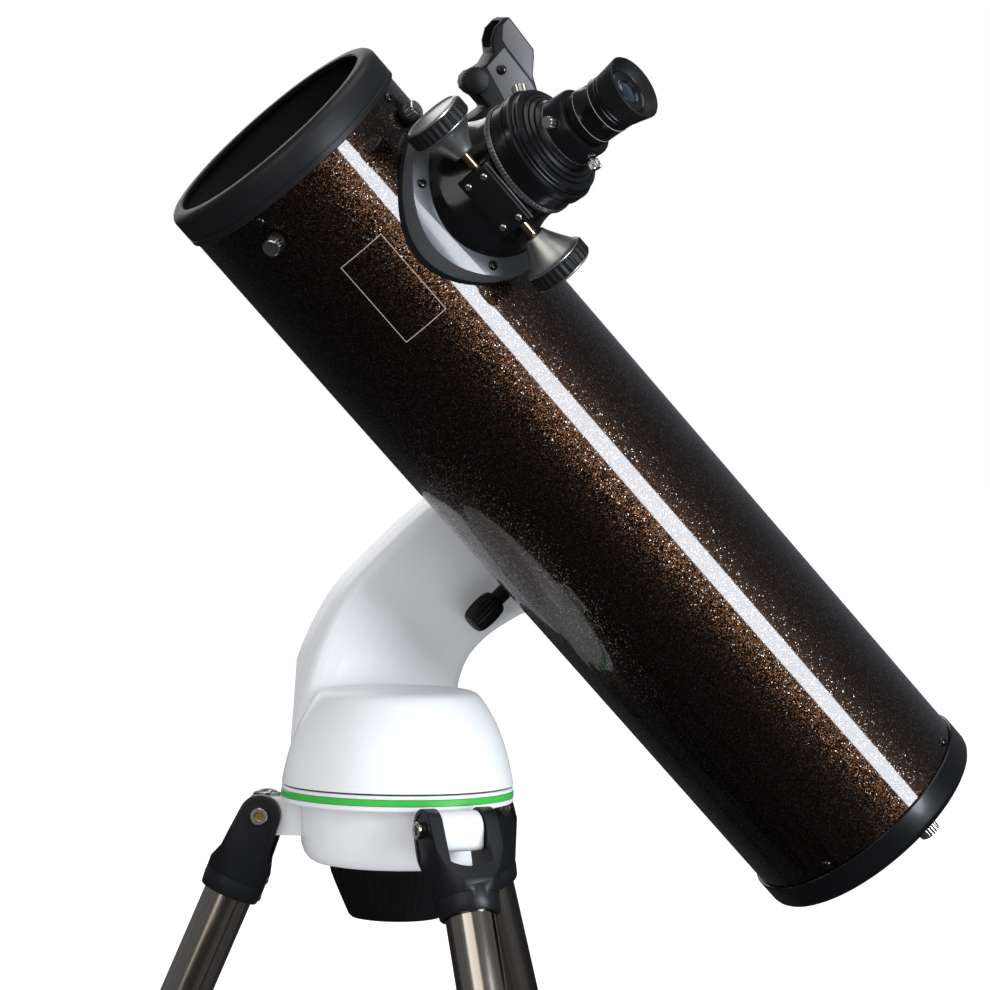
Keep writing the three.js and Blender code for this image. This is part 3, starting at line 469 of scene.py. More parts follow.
def makeMountKnob():
    knob = turned("mountKnob", [(0, -86.5), (26, -86.5), (28.6, -86), (30.6, -84.2), (34, -76.8), (37, -70),
        (40, -63), (42.4, -57), (43, -54), (43, -51.9), (42.4, -51.6), (6.3, -51.6), (6.3, -4), (0, -4)],
        288)
    fluted(knob, 48, 0.7, -84, -53.5, 20)
    rounded(knob, 0.5, 2, 50)
    finish(knob, mountFrame, blackNylon, ["mount_knob"], "mount_knob_body")


makeHub()
makeMountKnob()
print("stage: tripod head done")

# ---- legs
legSizes = {"eye": 13.4, "gapWidth": 30, "width": 47, "sleeve": 19.6, "end": 57, "tube": 15.875,
    "lower": 12.7}


# the side view of an ear, drawn in by the given amount
def earOutline(inset):
    s = Sizes(**legSizes)
    eye, hip = s.eye - inset, s.sleeve - inset
    return ([(-hip, -46), (-hip, -37), (-eye - 2.4, -27)] + arc(eye, range(180, -1, -9))
            + [(eye + 2.4, -27), (hip, -37), (hip, -46)])


def makeClevis():
    s = Sizes(**legSizes)
    half = s.width / 2
    ears = sidePlate("legClevis", earOutline(0), -half, half)
    taper = plate("taper", [(-half, 20), (-half, -14), (-half + 3.6, -60), (half - 3.6, -60), (half, -14),
        (half, 20)], -30, 30)
    keep(ears, turnTo(turnTo(taper, "X", 90), "Z", 90))
    keep(ears, turned("envelope", [(0, 20), (27.4, 20), (27.4, -16), (20.4, -45), (0, -45)], 64))
    rounded(ears, 1.2, 3)
    for low, high in ((-half - 1, -half + 0.7), (half - 0.7, half + 1)):
        cut(ears, sidePlate("recess", earOutline(2.6)[1:-1], low, high))
    sleeve = turned("sleeve", [(0, -s.end), (18.6, -s.end), (19.3, -s.end + 0.8),
        (s.sleeve + 0.5, -s.end + 8), (s.sleeve + 0.3, -42), (s.sleeve - 1.2, -34), (s.sleeve - 5, -29),
        (0, -28)], 64)
    fuse(ears, sleeve)
    slot = block("slot", (-30, 30), (-s.gapWidth / 2, s.gapWidth / 2), (-25, 30))
    cut(ears, slot)
    # the floor of the gap dips in the middle
    dip = moved(turnTo(bar("dip", 30, -30, 30, 96), "Y", 90), 0, 0, 1.2)
    keep(dip, block("gap", (-40, 40), (-14.9, 14.9), (-50, -10)))
    cut(ears, dip)
    cut(ears, bar("bore", s.tube + 0.3, -s.end - 5, -31, 64))
    hole = turnTo(bar("hole", 3.5, -40, 40, 32), "X", 90)
    return rounded(cut(ears, hole), 0.5, 2, 45)


def makeBolt():
    head = turned("boltHead", [(0, 23.8), (5.6, 23.8), (5.6, 27.3), (5.1, 28), (3.2, 28), (3.0, 27.6),
        (3.0, 25), (0, 25)], 40)
    shank = bar("shank", 3.2, -23.8, 23.9, 32)
    socket = plate("socket", arc(2.9, range(0, 360, 60)), 25.1, 25.9)
    hollow = plate("hollow", arc(2, range(0, 360, 60)), 25.4, 26.4)
    cut(socket, hollow)
    head = joined([head, turnTo(copied(head, "farHead"), "X", 180), shank])
    socket = joined([socket, turnTo(copied(socket, "farSocket"), "X", 180)])
    return turnTo(head, "X", 90), turnTo(socket, "X", 90)


def makeCollar():
    s = Sizes(**legSizes)
    shell = turned("legCollar", [(s.tube + 0.3, -560.3), (s.tube + 0.3, -545), (19.2, -545), (20.2, -546),
        (20.5, -548), (20.5, -553), (19.9, -553.8), (19.9, -556), (20.5, -556.8), (20.5, -586),
        (19.8, -589.5), (17.5, -592), (s.lower + 0.3, -592), (s.lower + 0.3, -560.3)], 64)
    boss = turnTo(turned("boss", [(0, 15), (8.8, 15), (8.5, 23), (7.9, 23.5), (0, 23.5)], 40), "Y", 90)
    fuse(shell, moved(boss, 0, 0, -577))
    tongue = sidePlate("tongue", [(-17.5, -562), (-17.5, -574), (-29, -574)]
                       + arc(6, range(-105, -256, -15), -29, -568) + [(-29, -562)], -3, 3)
    fuse(shell, tongue)
    pinHole = moved(turnTo(bar("pinHole", 2.6, -10, 10, 24), "X", 90), -29, 0, -568)
    cut(shell, pinHole)
    screwHole = moved(turnTo(bar("screwHole", 3.4, 11, 30, 24), "Y", 90), 0, 0, -577)
    return rounded(cut(shell, screwHole), 0.5, 2, 40)


# a hand knob with round lobes, built up along z
def makeLobedKnob(name, radius, low, high, lobes, depth, screw, reach):
    grip = turned(name, [(0, low), (radius - 3, low), (radius - 0.8, low + 1), (radius, low + 3),
        (radius, high - 3), (radius - 1, high - 1), (radius - 3.5, high), (radius * 0.45, high),
        (radius * 0.4, high - 0.7), (0, high - 0.7)], lobes * 16)
    fluted(grip, lobes, depth, low, high, radius * 0.5)
    stem = turned("stem", [(0, reach), (screw, reach), (screw, low - 4.5), (6.5, low - 4.5), (8, low - 2),
                           (8, low + 1), (0, low + 1)], 40)
    return joined([grip, stem])


def makeFoot():
    s = Sizes(**legSizes)
    inner = s.lower + 0.25
    section = [(0, -703.3), (inner, -703.3), (inner, -686), (14.6, -686), (15.2, -686.8)]
    for step in range(4):  # grip rings round the boot
        z = -690 - step * 3
        section += [(15.3 + step * 0.2, z), (15.3 + step * 0.2, z - 1.4), (14.7 + step * 0.2, z - 1.8),
                    (14.7 + step * 0.2, z - 2.6)]
    section += [(16.6, -703), (19.3, -707), (19.8, -710), (20, -746), (0, -746)]
    return turned("legFoot", section, 64)


def cutAtFloor(piece):
    pickOnly(piece)
    bpy.ops.object.mode_set(mode="EDIT")
    bpy.ops.mesh.select_all(action="SELECT")
    bpy.ops.mesh.bisect(plane_co=(0, 0, 0), plane_no=(0, 0, 1), use_fill=True, clear_inner=True)
    bpy.ops.object.mode_set(mode="OBJECT")
    return piece


def makeLegs():
    s = Sizes(**legSizes)
    screw = turned("clevisScrew", [(0, -1), (2.2, -1), (2.2, 0), (2.6, 0), (2.4, 0.8), (1.4, 1.3),
        (0.6, 1.4), (0.6, 0.8), (0, 0.8)], 24)
    tubes = {
        "upperLeg": turned("upperLegModel", [(14.4, -560), (15.6, -560), (15.875, -559.7), (15.875, -30.6),
                                             (14.4, -30.6)], 80),
        "lowerLeg": turned("lowerLegModel", [(11.5, -703), (12.5, -703), (12.7, -702.8), (12.7, -150),
                                             (11.5, -150)], 72),
    }
    clevis, collar, foot = makeClevis(), makeCollar(), makeFoot()
    bolt, socket = makeBolt()
    knob = makeLobedKnob("legClampKnob", 12.5, 29, 41, 6, 2.2, 3, 13.7)
    turnTo(knob, "Y", 90)
    moved(knob, 0, 0, -577)
    for number in (1, 2, 3):
        place, body = legFrame(number), f"leg_{number}"
        finish(copied(clevis, f"legClevis{number}"), place, charcoalNylon,
            [f"leg_clevis_{number}"], body)
        finish(copied(tubes["upperLeg"], f"upperLeg{number}"), place, legSteelPaintedStreaks[number - 1],
            [f"upper_leg_{number}"], body)
        finish(copied(tubes["lowerLeg"], f"lowerLeg{number}"), place, legSteelPaintedStreaks[number - 1],
            [f"lower_leg_{number}"], f"lower_leg_body_{number}")
        finish(copied(collar, f"legCollar{number}"), place, charcoalNylon,
            [f"leg_collar_{number}"], body)
        finish(copied(knob, f"legClampKnob{number}"), place, blackNylon,
            [f"leg_clamp_knob_{number}"], f"leg_clamp_{number}")
        boot = copied(foot, f"legFoot{number}")
        finish(boot, place, footRubber, [f"leg_foot_{number}"], f"lower_leg_body_{number}")
        cutAtFloor(boot)
        upright = Matrix.Translation(pivotOf(f"leg_fold_{number}") - mountOrigin) @ spokeFrame(number)
        finish(copied(bolt, f"legBolt{number}"), upright, boltChrome,
            [f"leg_pivot_bolt_{number}"], "tripod_head")
        finish(copied(socket, f"legBoltSocket{number}"), upright, socketBrass,
            body="tripod_head")
        for row, depth in enumerate((40, 52)):
            head = copied(screw, f"clevisScrew{number}_{row}")
            turnTo(head, "Y", -90)
            moved(head, -s.sleeve + 0.4, 0, -depth)
            finish(head, place, boltChrome, body=body)
    discard(clevis, collar, foot, bolt, socket, knob, screw, *tubes.values())


makeLegs()
print("stage: legs done")

# ---- spreader, tray and its knob
traySizes = {"lift": 22, "radius": 92, "lobe": 13, "plate": 9, "floor": 4, "rim": 4, "pocket": 16.2,
    "circle": 58}
hubLow, hubHigh = (Vector(corner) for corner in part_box("spreader_hub"))
hubMiddle = Matrix.Translation((mountOrigin.x, mountOrigin.y, (hubLow.z + hubHigh.z) / 2))
legAngles = [atan2(-axisOf(f"leg_fold_{number}").x, axisOf(f"leg_fold_{number}").y) for number in (1, 2, 3)]


def trayOutline(inset):
    s = Sizes(**traySizes)
    points = []
    for i in range(96):
        turn = i / 96 * 2 * pi
        radius = s.radius - s.lobe * cos(3 * (turn - legAngles[0])) - inset
        points += arc(radius, [degrees(turn)])
    return points


def makeSpreader():
    s = Sizes(**traySizes)
    hub = turned("spreaderHub", [(5, -8), (48.6, -8), (50, -6.6), (50, 6.6), (48.6, 8), (5, 8)], 96)
    for angle in legAngles:
        slot = block("slot", (21, 60), (-5, 5), (-20, 20))
        cut(hub, turnTo(slot, "Z", degrees(angle)))
    rounded(hub, 0.6, 2)
    finish(hub, hubMiddle, blackNylon, ["spreader_hub"], "spreader")
    top = s.lift
    tray = plate("accessoryTray", trayOutline(0), top, top + s.plate)
    cut(tray, plate("recess", trayOutline(s.rim), top + s.floor, top + 20))
    fuse(tray, bar("boss", 16, 8.3, top + s.plate, 64))
    for k in range(6):
        turn = legAngles[0] + radians(30 + 60 * k)
        x, y = s.circle * cos(turn), s.circle * sin(turn)
        lip = turned("lip", [(s.pocket - 1, top + 1), (s.pocket + 2, top + 1), (s.pocket + 2, top + 5.2),
                             (s.pocket - 1, top + 5.2)], 48)
        fuse(tray, moved(lip, x, y, 0))
        cut(tray, moved(bar("pocket", s.pocket, 0, top + 30, 48), x, y, 0))
    cut(tray, bar("hole", 5, 0, 60))
    rounded(tray, 0.6, 2)
    finish(tray, hubMiddle, charcoalNylon, ["accessory_tray"], "spreader")
    knob = makeLobedKnob("trayKnob", 15, 2.5, 14, 5, 3.5, 4.6, -30)
    finish(knob, hubMiddle @ Matrix.Translation((0, 0, (top + s.plate + 2.8) * mm)), blackNylon,
        ["tray_knob"], "tray_knob_body")


makeSpreader()
print("stage: spreader and tray done")

# ---- mount
armSizes = {"front": 62, "parting": 82, "back": 108, "edge": 8, "wall": 4, "tip": 54}
axisX, axisZ = (altitudeAxis.x - mountOrigin.x) / mm, (altitudeAxis.z - mountOrigin.z) / mm
domeSection = [(74.6, 0.6), (74.2, 4), (73.2, 9), (71.8, 15.5), (70, 22), (68, 28.4), (65.6, 34.6),
    (62.9, 40.8), (59.6, 46.5), (57, 50.8), (54.6, 54.2), (52.4, 57), (50, 58.8), (47, 60.1), (44, 60.6)]


def makeDome():
    inner = [(radius - 3.2, height - 1.6) for radius, height in domeSection[1:]]
    dome = turned("baseDome", [(74.6, 0.2)] + domeSection + [(0, 60.9), (0, 57.7)] + inner[::-1]
        + [(71.4, 0.2)], 128)
    finish(dome, mountFrame, whiteAbs, ["base_dome"], "mount_arm")


# a smooth run of points through the given ones
def smoothRun(points, steps):
    run = []
    for i in range(len(points) - 1):
        near = [Vector(points[max(0, min(len(points) - 1, i + k))]) for k in (-1, 0, 1, 2)]
        for j in range(steps):
            t = j / steps
            run.append(0.5 * (2 * near[1] + (near[2] - near[0]) * t
                + (2 * near[0] - 5 * near[1] + 4 * near[2] - near[3]) * t * t
                + (3 * near[1] - near[0] - 3 * near[2] + near[3]) * t ** 3))
    return run + [Vector(points[-1])]


def armOutline(inset):
    right = [(64.2, 46), (65.6, 61), (72.8, 77.4), (88, 92), (109, 104.2)]
    left = [(84, 200), (48, 179.6), (10, 146.4), (-13.2, 121.6), (-30.7, 91.2), (-41.6, 60), (-49.4, 25)]
    tip = armSizes["tip"] - inset
    points = [(62 - inset, 2 + inset)] + smoothRun([(x - inset, z) for x, z in right], 4)
    points += arc(tip, [-92 + 208 * i / 36 for i in range(37)], axisX, axisZ)
    points += smoothRun([(x + inset, z) for x, z in left], 5)
    return points + [(-52 + inset, 2 + inset)]


def makeArm():
    s = Sizes(**armSizes)
    body = rounded(sidePlate("armFrontShell", armOutline(0), s.front, s.back), s.edge, 6, 60)
    envelope = turned("envelope", [(0, 1.2), (82, 1.2), (85, 4), (87, 14), (90, 30), (94, 45), (100, 60),
        (110, 77), (122, 92), (143, 107), (170, 120), (260, 140), (260, 240), (0, 240)], 128)
    keep(body, envelope)
    clear = [(radius + 0.3, height + (0.3 if height > 50 else 0)) for radius, height in domeSection[::-1]]
    cut(body, turned("domeRoom", [(0, -2), (0, 61.2)] + clear + [(74.9, -2)], 128))
    pocket = sidePlate("pocket", armOutline(s.wall + 3), s.front + s.wall, s.back - s.wall)
    inside = turned("inside", [(0, 6), (76, 6), (78, 10), (84, 30), (94, 60), (116, 92), (164, 120),
        (254, 140), (254, 236), (0, 236)], 96)
    keep(pocket, inside)
    cut(pocket, turned("keep", [(0, -4), (78.6, -4), (78, 10), (72, 30), (60, 52), (50, 64), (0, 65)], 96))
    cut(body, pocket)
    rear = copied(body, "armRearShell")
    keep(body, block("half", (-300, 300), (0, s.parting), (-50, 300)))
    shaftRoom = moved(turnTo(bar("shaftRoom", 11.6, -100, -40, 48), "X", 90), axisX, 0, axisZ)
    cut(body, shaftRoom)
    keep(rear, block("half", (-300, 300), (s.parting + 0.3, 200), (-50, 300)))
    cut(rear, block("socket", (-0.5, 24.5), (96, 128), (32, 48)))
    finish(body, mountFrame, whiteAbs, ["arm_front_shell"], "mount_arm")
    finish(rear, mountFrame, whiteAbs, ["arm_rear_shell"], "mount_arm")


def makeSaddleKnob():
    axis = axisOf("saddle_knob_turn")
    origin = pivotOf("saddle_knob_turn") - axis * 80 * mm
    place = frameAt(origin, forward, axis.cross(forward), axis)
    knob = turned("saddleKnob", [(0, 71), (6.4, 71), (7.6, 71.8), (8.6, 73.6), (9.2, 76.5), (9.5, 80),
        (9.5, 84), (9.2, 88.5), (8.6, 91.5), (7.4, 93.8), (5.4, 94.8), (0, 95)], 144)
    fluted(knob, 18, 0.9, 73, 92.5)
    neck = turned("neck", [(0, 22.4), (4, 22.4), (4, 61), (5.2, 61.2), (5.4, 66), (5.2, 71.2), (0, 71.2)], 40)
    finish(joined([knob, neck]), place, blackNylon, ["saddle_knob"], "saddle_clamp")


makeDome()
makeArm()
makeSaddleKnob()
print("stage: mount done")

# ---- optical tube
tubeSizes = {"radius": 80, "wall": 1.4, "front": 345.4, "rear": -266.6, "ring": 82, "lip": 72, "vanes": 303.1}


def makeTube():
    s = Sizes(**tubeSizes)
    inner = s.radius - s.wall
    tube = turned("opticalTube", [(inner, s.rear + 4.4), (s.radius, s.rear + 4.4),
                                  (s.radius, s.front - 2.4), (inner, s.front - 2.4)], 192)
    port = bar("port", 30.5, 40, 100, 64)
    port.data.transform(tubeFrame.inverted() @ focuserFrame)
    cut(tube, port)
    finish(tube, tubeFrame, tubeLacquer, ["optical_tube"])
    tube.data.materials.append(innerBlack)
    for face in tube.data.polygons:
        local = tubeFrame.inverted() @ face.center
        if hypot(local.x, local.y) < (s.radius - 0.3) * mm:
            face.material_index = 1


def makeRings():
    s = Sizes(**tubeSizes)
    front = s.front
    ring = turned("frontRing", [(s.lip + 0.3, front - 3.2), (80.35, front - 2.2), (80.35, front - 22.8),
        (81.4, front - 22.8), (s.ring, front - 22.2), (s.ring, front - 19), (81.6, front - 18.6),
        (81.6, front - 18), (s.ring, front - 17.6), (s.ring, front - 5), (81.4, front - 3),
        (80, front - 1.3), (78.4, front - 0.4), (76.5, front), (s.lip + 0.8, front), (s.lip, front - 0.8),
        (s.lip, front - 2.6)], 160)
    finish(ring, tubeFrame, ringAbs, ["front_ring"])
    rear = s.rear
    cell = turned("rearCell", [(30, rear + 4), (30, rear + 0.8), (30.8, rear), (50, rear),
        (50.6, rear + 0.8), (52, rear + 0.8), (52.6, rear), (76.5, rear), (78.6, rear + 0.4),
        (80.4, rear + 1.6), (81.5, rear + 3.2), (s.ring, rear + 5.5), (s.ring, rear + 19.7),
        (81.4, rear + 20.3), (80.35, rear + 20.3), (80.35, rear + 4)], 160)
    for number in (1, 2, 3):
        spot = (tubeFrame.inverted() @ pivotOf(f"collimation_turn_{number}")) / mm
        cut(cell, moved(bar("hole", 3.3, rear - 5, rear + 10), spot.x, spot.y, 0))
    finish(cell, tubeFrame, castSatin, ["rear_cell"])
    mirror = turned("primaryMirror", [(0, -244), (64.4, -244), (65, -243.4), (65, -226.6), (64.4, -226),
        (50, -226.7), (32, -227.2), (16, -227.5), (0, -227.6)], 96)
    finish(mirror, tubeFrame, mirrorFace, ["primary_mirror"])


def makeScrews():
    domeScrew = turned("ringScrew", [(0, -1), (3.3, -1), (3.3, 0.6), (3.0, 1.3), (2.2, 1.9), (1.5, 2.1),
        (0, 2.1)], 32)
    cut(domeScrew, block("slotA", (-0.4, 0.4), (-1.8, 1.8), (1.2, 3)))
    cut(domeScrew, block("slotB", (-1.8, 1.8), (-0.4, 0.4), (1.2, 3)))
    for row, along in enumerate((318.5, -241)):
        for k in range(4):
            screw = copied(domeScrew, f"ringScrew{row}_{k}")
            turnTo(screw, "Z", 25 * k + 10)
            moved(screw, 0, 0, 80)
            finish(screw, aroundTube(45 + 90 * k, along), castGloss)
    return domeScrew


def makeSpider():
    s = Sizes(**tubeSizes)
    at = s.vanes
    hub = turned("spiderHub", [(3.4, at - 11), (12.6, at - 11), (14, at - 9.6), (14, at + 9), (12, at + 11),
                               (3.4, at + 11)], 64)
    inTube = tubeFrame.inverted()
    parts = [hub]
    for angle in (45, 135, 225, 315):
        vane = rounded(block("vane", (-7, 7), (-0.6, 0.6), (13, s.radius - s.wall - 0.6)), 0.25, 1)
        stud = bar("stud", 2.4, s.radius - 6, s.radius + 2, 24)
        for part in (vane, stud):
            part.data.transform(inTube @ aroundTube(angle, at))
            parts.append(part)
    finish(joined(parts), tubeFrame, vaneMetal, ["spider"])
    washer = turned("vaneNutBase", [(0, 80.7), (6.4, 80.7), (6.8, 81.2), (6.8, 84), (6.3, 84.5), (0, 84.5)],
        96)
    fluted(washer, 24, 0.5, 81, 84.2, 5)
    cap = turned("vaneNutCap", [(0, 84.3), (5.6, 84.3), (5.9, 84.7), (5.9, 90), (5.5, 90.8), (4.8, 91.2),
        (4.2, 91), (0, 90.9)], 96)
    fluted(cap, 16, 0.5, 84.6, 90.1, 5)
    for k in range(4):
        place = aroundTube(45 + 90 * k, at)
        finish(copied(washer, f"vaneNutBase{k}"), place, blackNylon)
        finish(copied(cap, f"vaneNutCap{k}"), place, boltChrome)
    discard(washer, cap)


def makeCollimationKnobs():
    rear = tubeSizes["rear"]
    knob = turned("collimationKnob", [(0, rear - 12), (6, rear - 12), (7, rear - 11.4), (7.2, rear - 10.8),
        (7.2, rear - 5.6), (6.6, rear - 5), (5, rear - 4.6), (4.4, rear - 3), (4.4, rear - 1.2),
        (2.9, rear - 1.2), (2.9, rear + 17), (0, rear + 17)], 96)
    fluted(knob, 24, 0.6, rear - 11.2, rear - 5.2, 6)
    for number in (1, 2, 3):
        spot = (tubeFrame.inverted() @ pivotOf(f"collimation_turn_{number}")) / mm
        screw = moved(copied(knob, f"collimationKnob{number}"), spot.x, spot.y, 0)
        finish(screw, tubeFrame, boltChrome, [f"collimation_knob_{number}"],
            f"collimation_{number}")
    discard(knob)


# an empty printed frame, where the data plate sits on the tube
def makeLabelFrame():
    size = {"low": 203, "high": 265.5, "from": 97, "to": 120.5, "line": 0.55}
    width = radians(size["to"] - size["from"]) * tubeSizes["radius"]
    bpy.ops.object.select_all(action="DESELECT")
    bpy.ops.mesh.primitive_plane_add(size=1)
    label = bpy.context.object
    label.name = "labelOutline"
    bpy.ops.object.mode_set(mode="EDIT")
    bpy.ops.transform.resize(value=((size["high"] - size["low"]) * mm, width * mm, 1))
    bpy.ops.mesh.inset(thickness=size["line"] * mm, depth=0)
    bpy.ops.mesh.delete(type="FACE")
    bpy.ops.mesh.select_all(action="SELECT")
    bpy.ops.mesh.subdivide(number_cuts=20)
    bpy.ops.object.mode_set(mode="OBJECT")
    for vertex in label.data.vertices:
        turn = radians((size["from"] + size["to"]) / 2) + vertex.co.y / (tubeSizes["radius"] * mm)
        radius = (tubeSizes["radius"] + 0.04) * mm
        vertex.co = (radius * cos(turn), -radius * sin(turn),
                     vertex.co.x + (size["low"] + size["high"]) / 2 * mm)
    applyModifier(label, "SOLIDIFY", thickness=0.05 * mm, offset=0)
    finish(label, tubeFrame, printedLine)


makeTube()
makeRings()
screwModel = makeScrews()
makeSpider()
makeCollimationKnobs()
makeLabelFrame()
print("stage: optical tube done")

# ---- focuser, all drawn about its own axis
pinionY, pinionZ = 33, 115.5


def seatOnTube(piece, radius):
    tubeShape = turnTo(bar("tubeShape", radius, -120, 120, 192), "Y", 90)
    return cut(piece, tubeShape)


# the part of a piece that lies within a radius of the tube's axis
def bentTo(piece, radius):
    return keep(piece, turnTo(bar("bend", radius, -120, 120, 192), "Y", 90))


def makeFocuserBase():
    gasket = bentTo(turned("focuserGasket", [(46.2, 40), (57.4, 40), (57.4, 92), (46.2, 92)], 160), 83.4)
    finish(seatOnTube(gasket, 80.1), focuserFrame, gripRubber)
    flange = bentTo(turned("focuserFlange", [(46.2, 40), (57.5, 40), (57.5, 100), (46.2, 100)], 160), 91.4)
    rounded(seatOnTube(flange, 83.5), 1.1, 3, 50)
    finish(flange, focuserFrame, flangeGrey)
    body = turned("focuserBase", [(27.6, 40), (46, 40), (46, 88.6), (45.6, 90.4), (44.2, 94), (42, 99.6),
        (39.8, 105), (38.2, 109), (37, 113), (36.2, 117), (36, 120), (36, 125.4), (35.4, 126), (27.6, 126)],
        128)
    housing = rounded(block("housing", (-21, 21), (20, pinionY + 6), (103.5, 126)), 1.5, 3)
    fuse(body, housing)
    cut(body, bar("bore", 27.6, 30, 140, 96))
    cut(body, block("rackSlot", (-4.2, 4.2), (20, 30), (60, 140)))
    gearRoom = moved(turnTo(bar("gearRoom", 5.1, -8, 8), "Y", 90), 0, pinionY, pinionZ)
    cut(body, gearRoom)
    shaftRoom = moved(turnTo(bar("shaftRoom", 3.1, -40, 40), "Y", 90), 0, pinionY, pinionZ)
    cut(body, shaftRoom)
    finish(seatOnTube(body, 80.4), focuserFrame, castGloss, ["focuser_base"])
    cover = rounded(block("rackCover", (-22, 22), (pinionY + 6.1, pinionY + 9), (103, 126)), 1.2, 3)
    finish(cover, focuserFrame, blackNylon)
    edge = block("rackCoverEdge", (-22.3, 22.3), (pinionY + 5.6, pinionY + 6.3), (126, 127.2))
    finish(rounded(edge, 0.25, 2), focuserFrame, wheelAluminium)
    for k, (x, z) in enumerate(((-16.5, 108), (16.5, 108), (-16.5, 121), (16.5, 121))):
        screw = copied(screwModel, f"rackCoverScrew{k}")
        screw.data.transform(Matrix.Scale(0.72, 4))
        turnTo(screw, "X", -90)
        finish(moved(screw, x, pinionY + 9, z), focuserFrame, boltChrome)
    for k, (x, y) in enumerate(((29.6, 33.7), (-29.6, 33.7), (29.6, -33.7), (-29.6, -33.7))):
        grow, lean = 51.5 / hypot(x, y), asin(y * 51.5 / hypot(x, y) / 91.4)
        screw = moved(copied(screwModel, f"flangeScrew{k}"), x * grow, 0, 91)
        finish(turnTo(screw, "X", -degrees(lean)), focuserFrame, castGloss)


def makeFocusWheels():
    shaft = turned("focusShaft", [(0, -36), (2.8, -36), (2.8, -7.2), (4.5, -7), (4.5, 7), (2.8, 7.2),
        (2.8, 36), (0, 36)], 120)
    fluted(shaft, 12, 1.0, -7, 7, 3.5)
    cone = turned("focusWheelCone", [(0, 33.5), (7, 33.5), (7.6, 34), (8, 35.4), (9.6, 38.6), (11.8, 42.4),
        (14.4, 46.6), (17, 50.6), (18.4, 51.8), (19.4, 52.2), (19.9, 52.6), (19.9, 53), (17, 53.2),
        (17, 62), (0, 62)], 96)
    grip = turned("focusWheelGrip", [(17, 53.2), (20, 53.2), (20.8, 54), (20.8, 61.4), (20.2, 62.3),
        (19.6, 62.6), (17, 62.6)], 240)
    fluted(grip, 30, 0.8, 53.8, 61.8, 19.5)
    cap = turned("focusWheelCap", [(0, 61.8), (17, 61.8), (19.3, 62.7), (19.4, 63.4), (18.6, 64),
        (17.8, 64.3), (17, 63.8), (16, 63.4), (8, 63.1), (0, 63)], 96)
    place = focuserFrame @ Matrix.Translation((0, pinionY * mm, pinionZ * mm)) @ Matrix.Rotation(pi / 2, 4,
        "Y")
    finish(shaft, place, shaftSteel, ["focus_pinion"], "focus_wheels")
    for hand, side in (("A", place), ("B", place @ Matrix.Rotation(pi, 4, "Y"))):
        finish(copied(cone, "focusWheelCone" + hand), side, wheelAluminium,
            body="focus_wheels")
        finish(copied(grip, "focusWheelGrip" + hand), side, gripRubber, body="focus_wheels")
        finish(copied(cap, "focusWheelCap" + hand), side, wheelAluminium, body="focus_wheels")
    discard(cone, grip, cap)


def makeDrawtube():
    tube = turned("drawtube", [(25.5, 86), (27.2, 86), (27.2, 131.4), (28, 131.8), (36.6, 131.8),
        (37, 132.2), (37, 139.6), (36.6, 139.9), (25.5, 139.9)], 128)
    rack = block("rack", (-3.6, 3.6), (25.8, 27.6), (88, 130))
    fuse(tube, rack)
    for tooth in range(20):  # the rack's teeth, 2 mm apart
        z = 89.5 + tooth * 2
        notch = block("notch", (-3.6, 3.6), (27.2, 28.2), (z, z + 1))
        fuse(tube, notch)
    finish(tube, focuserFrame, castSatin, ["drawtube"], "focus_tube")
    knurl = turned("knurledRing", [(36, 127.2), (37.4, 127.2), (37.9, 127.7), (37.9, 130.9), (37.4, 131.4),
        (36, 131.4)], 360)
    fluted(knurl, 90, 0.5, 127.6, 131, 37)
    finish(knurl, focuserFrame, darkKnurl)
    holderSection = [(16.05, 124), (24.9, 124), (24.9, 140.1), (37.8, 140.1), (38.2, 140.5), (38.2, 142),
        (37.6, 142.2), (37.6, 142.8), (38.2, 143), (38.2, 146.6), (37.6, 147.4), (36.2, 147.8),
        (36.2, 149.2), (35.6, 149.8), (35.6, 152), (35.2, 152.4), (31.8, 153.4), (31.6, 152.9), (31, 152.9),
        (30.8, 154.2), (28.6, 155.2), (28.4, 154.7), (27.8, 154.7), (27.6, 156), (25.6, 157.2),
        (25.4, 156.7), (24.8, 156.7), (24.6, 158.2), (23.2, 159.8), (22.5, 161.4), (22.4, 163.2),
        (22.4, 174.6), (21.8, 176), (21, 176.3), (16.05, 176.3)]
    holder = turned("eyepieceHolder", holderSection, 128)
    finish(holder, focuserFrame, castSatin, ["eyepiece_holder"], "focus_tube", angle=24)
    trim = turned("holderTrim", [(22.3, 161.2), (22.9, 161.2), (22.9, 161.9), (22.3, 161.9)], 96)
    finish(trim, focuserFrame, wheelAluminium, body="focus_tube")


def makeSetScrews():
    screw = turned("setScrew", [(0, 16.3), (1.6, 16.3), (1.6, 23.2), (3.4, 23.2), (4, 23.8), (4, 28.8),
        (3.5, 29.4), (0, 29.5)], 96)
    fluted(screw, 20, 0.5, 23.6, 29, 3)
    turnTo(screw, "Y", 90)
    moved(screw, 0, 0, 168)
    front = copied(screw, "eyepieceSetScrew")
    finish(turnTo(front, "Z", 52), focuserFrame, boltChrome, ["eyepiece_set_screw"],
        "set_screw")
    finish(turnTo(copied(screw, "eyepieceSetScrewB"), "Z", 152), focuserFrame, boltChrome,
        body="focus_tube")
    discard(screw)
    thumb = turned("tensionScrew", [(0, 34), (2.2, 34), (2.2, 40), (4.2, 40), (4.8, 40.6), (4.8, 48.4),
        (4.2, 49), (0, 49.2)], 96)
    fluted(thumb, 14, 0.7, 40.4, 48.6, 3.5)
    turnTo(thumb, "Y", 90)
    moved(thumb, 0, 0, 136)
    finish(turnTo(thumb, "Z", -48), focuserFrame, boltChrome)


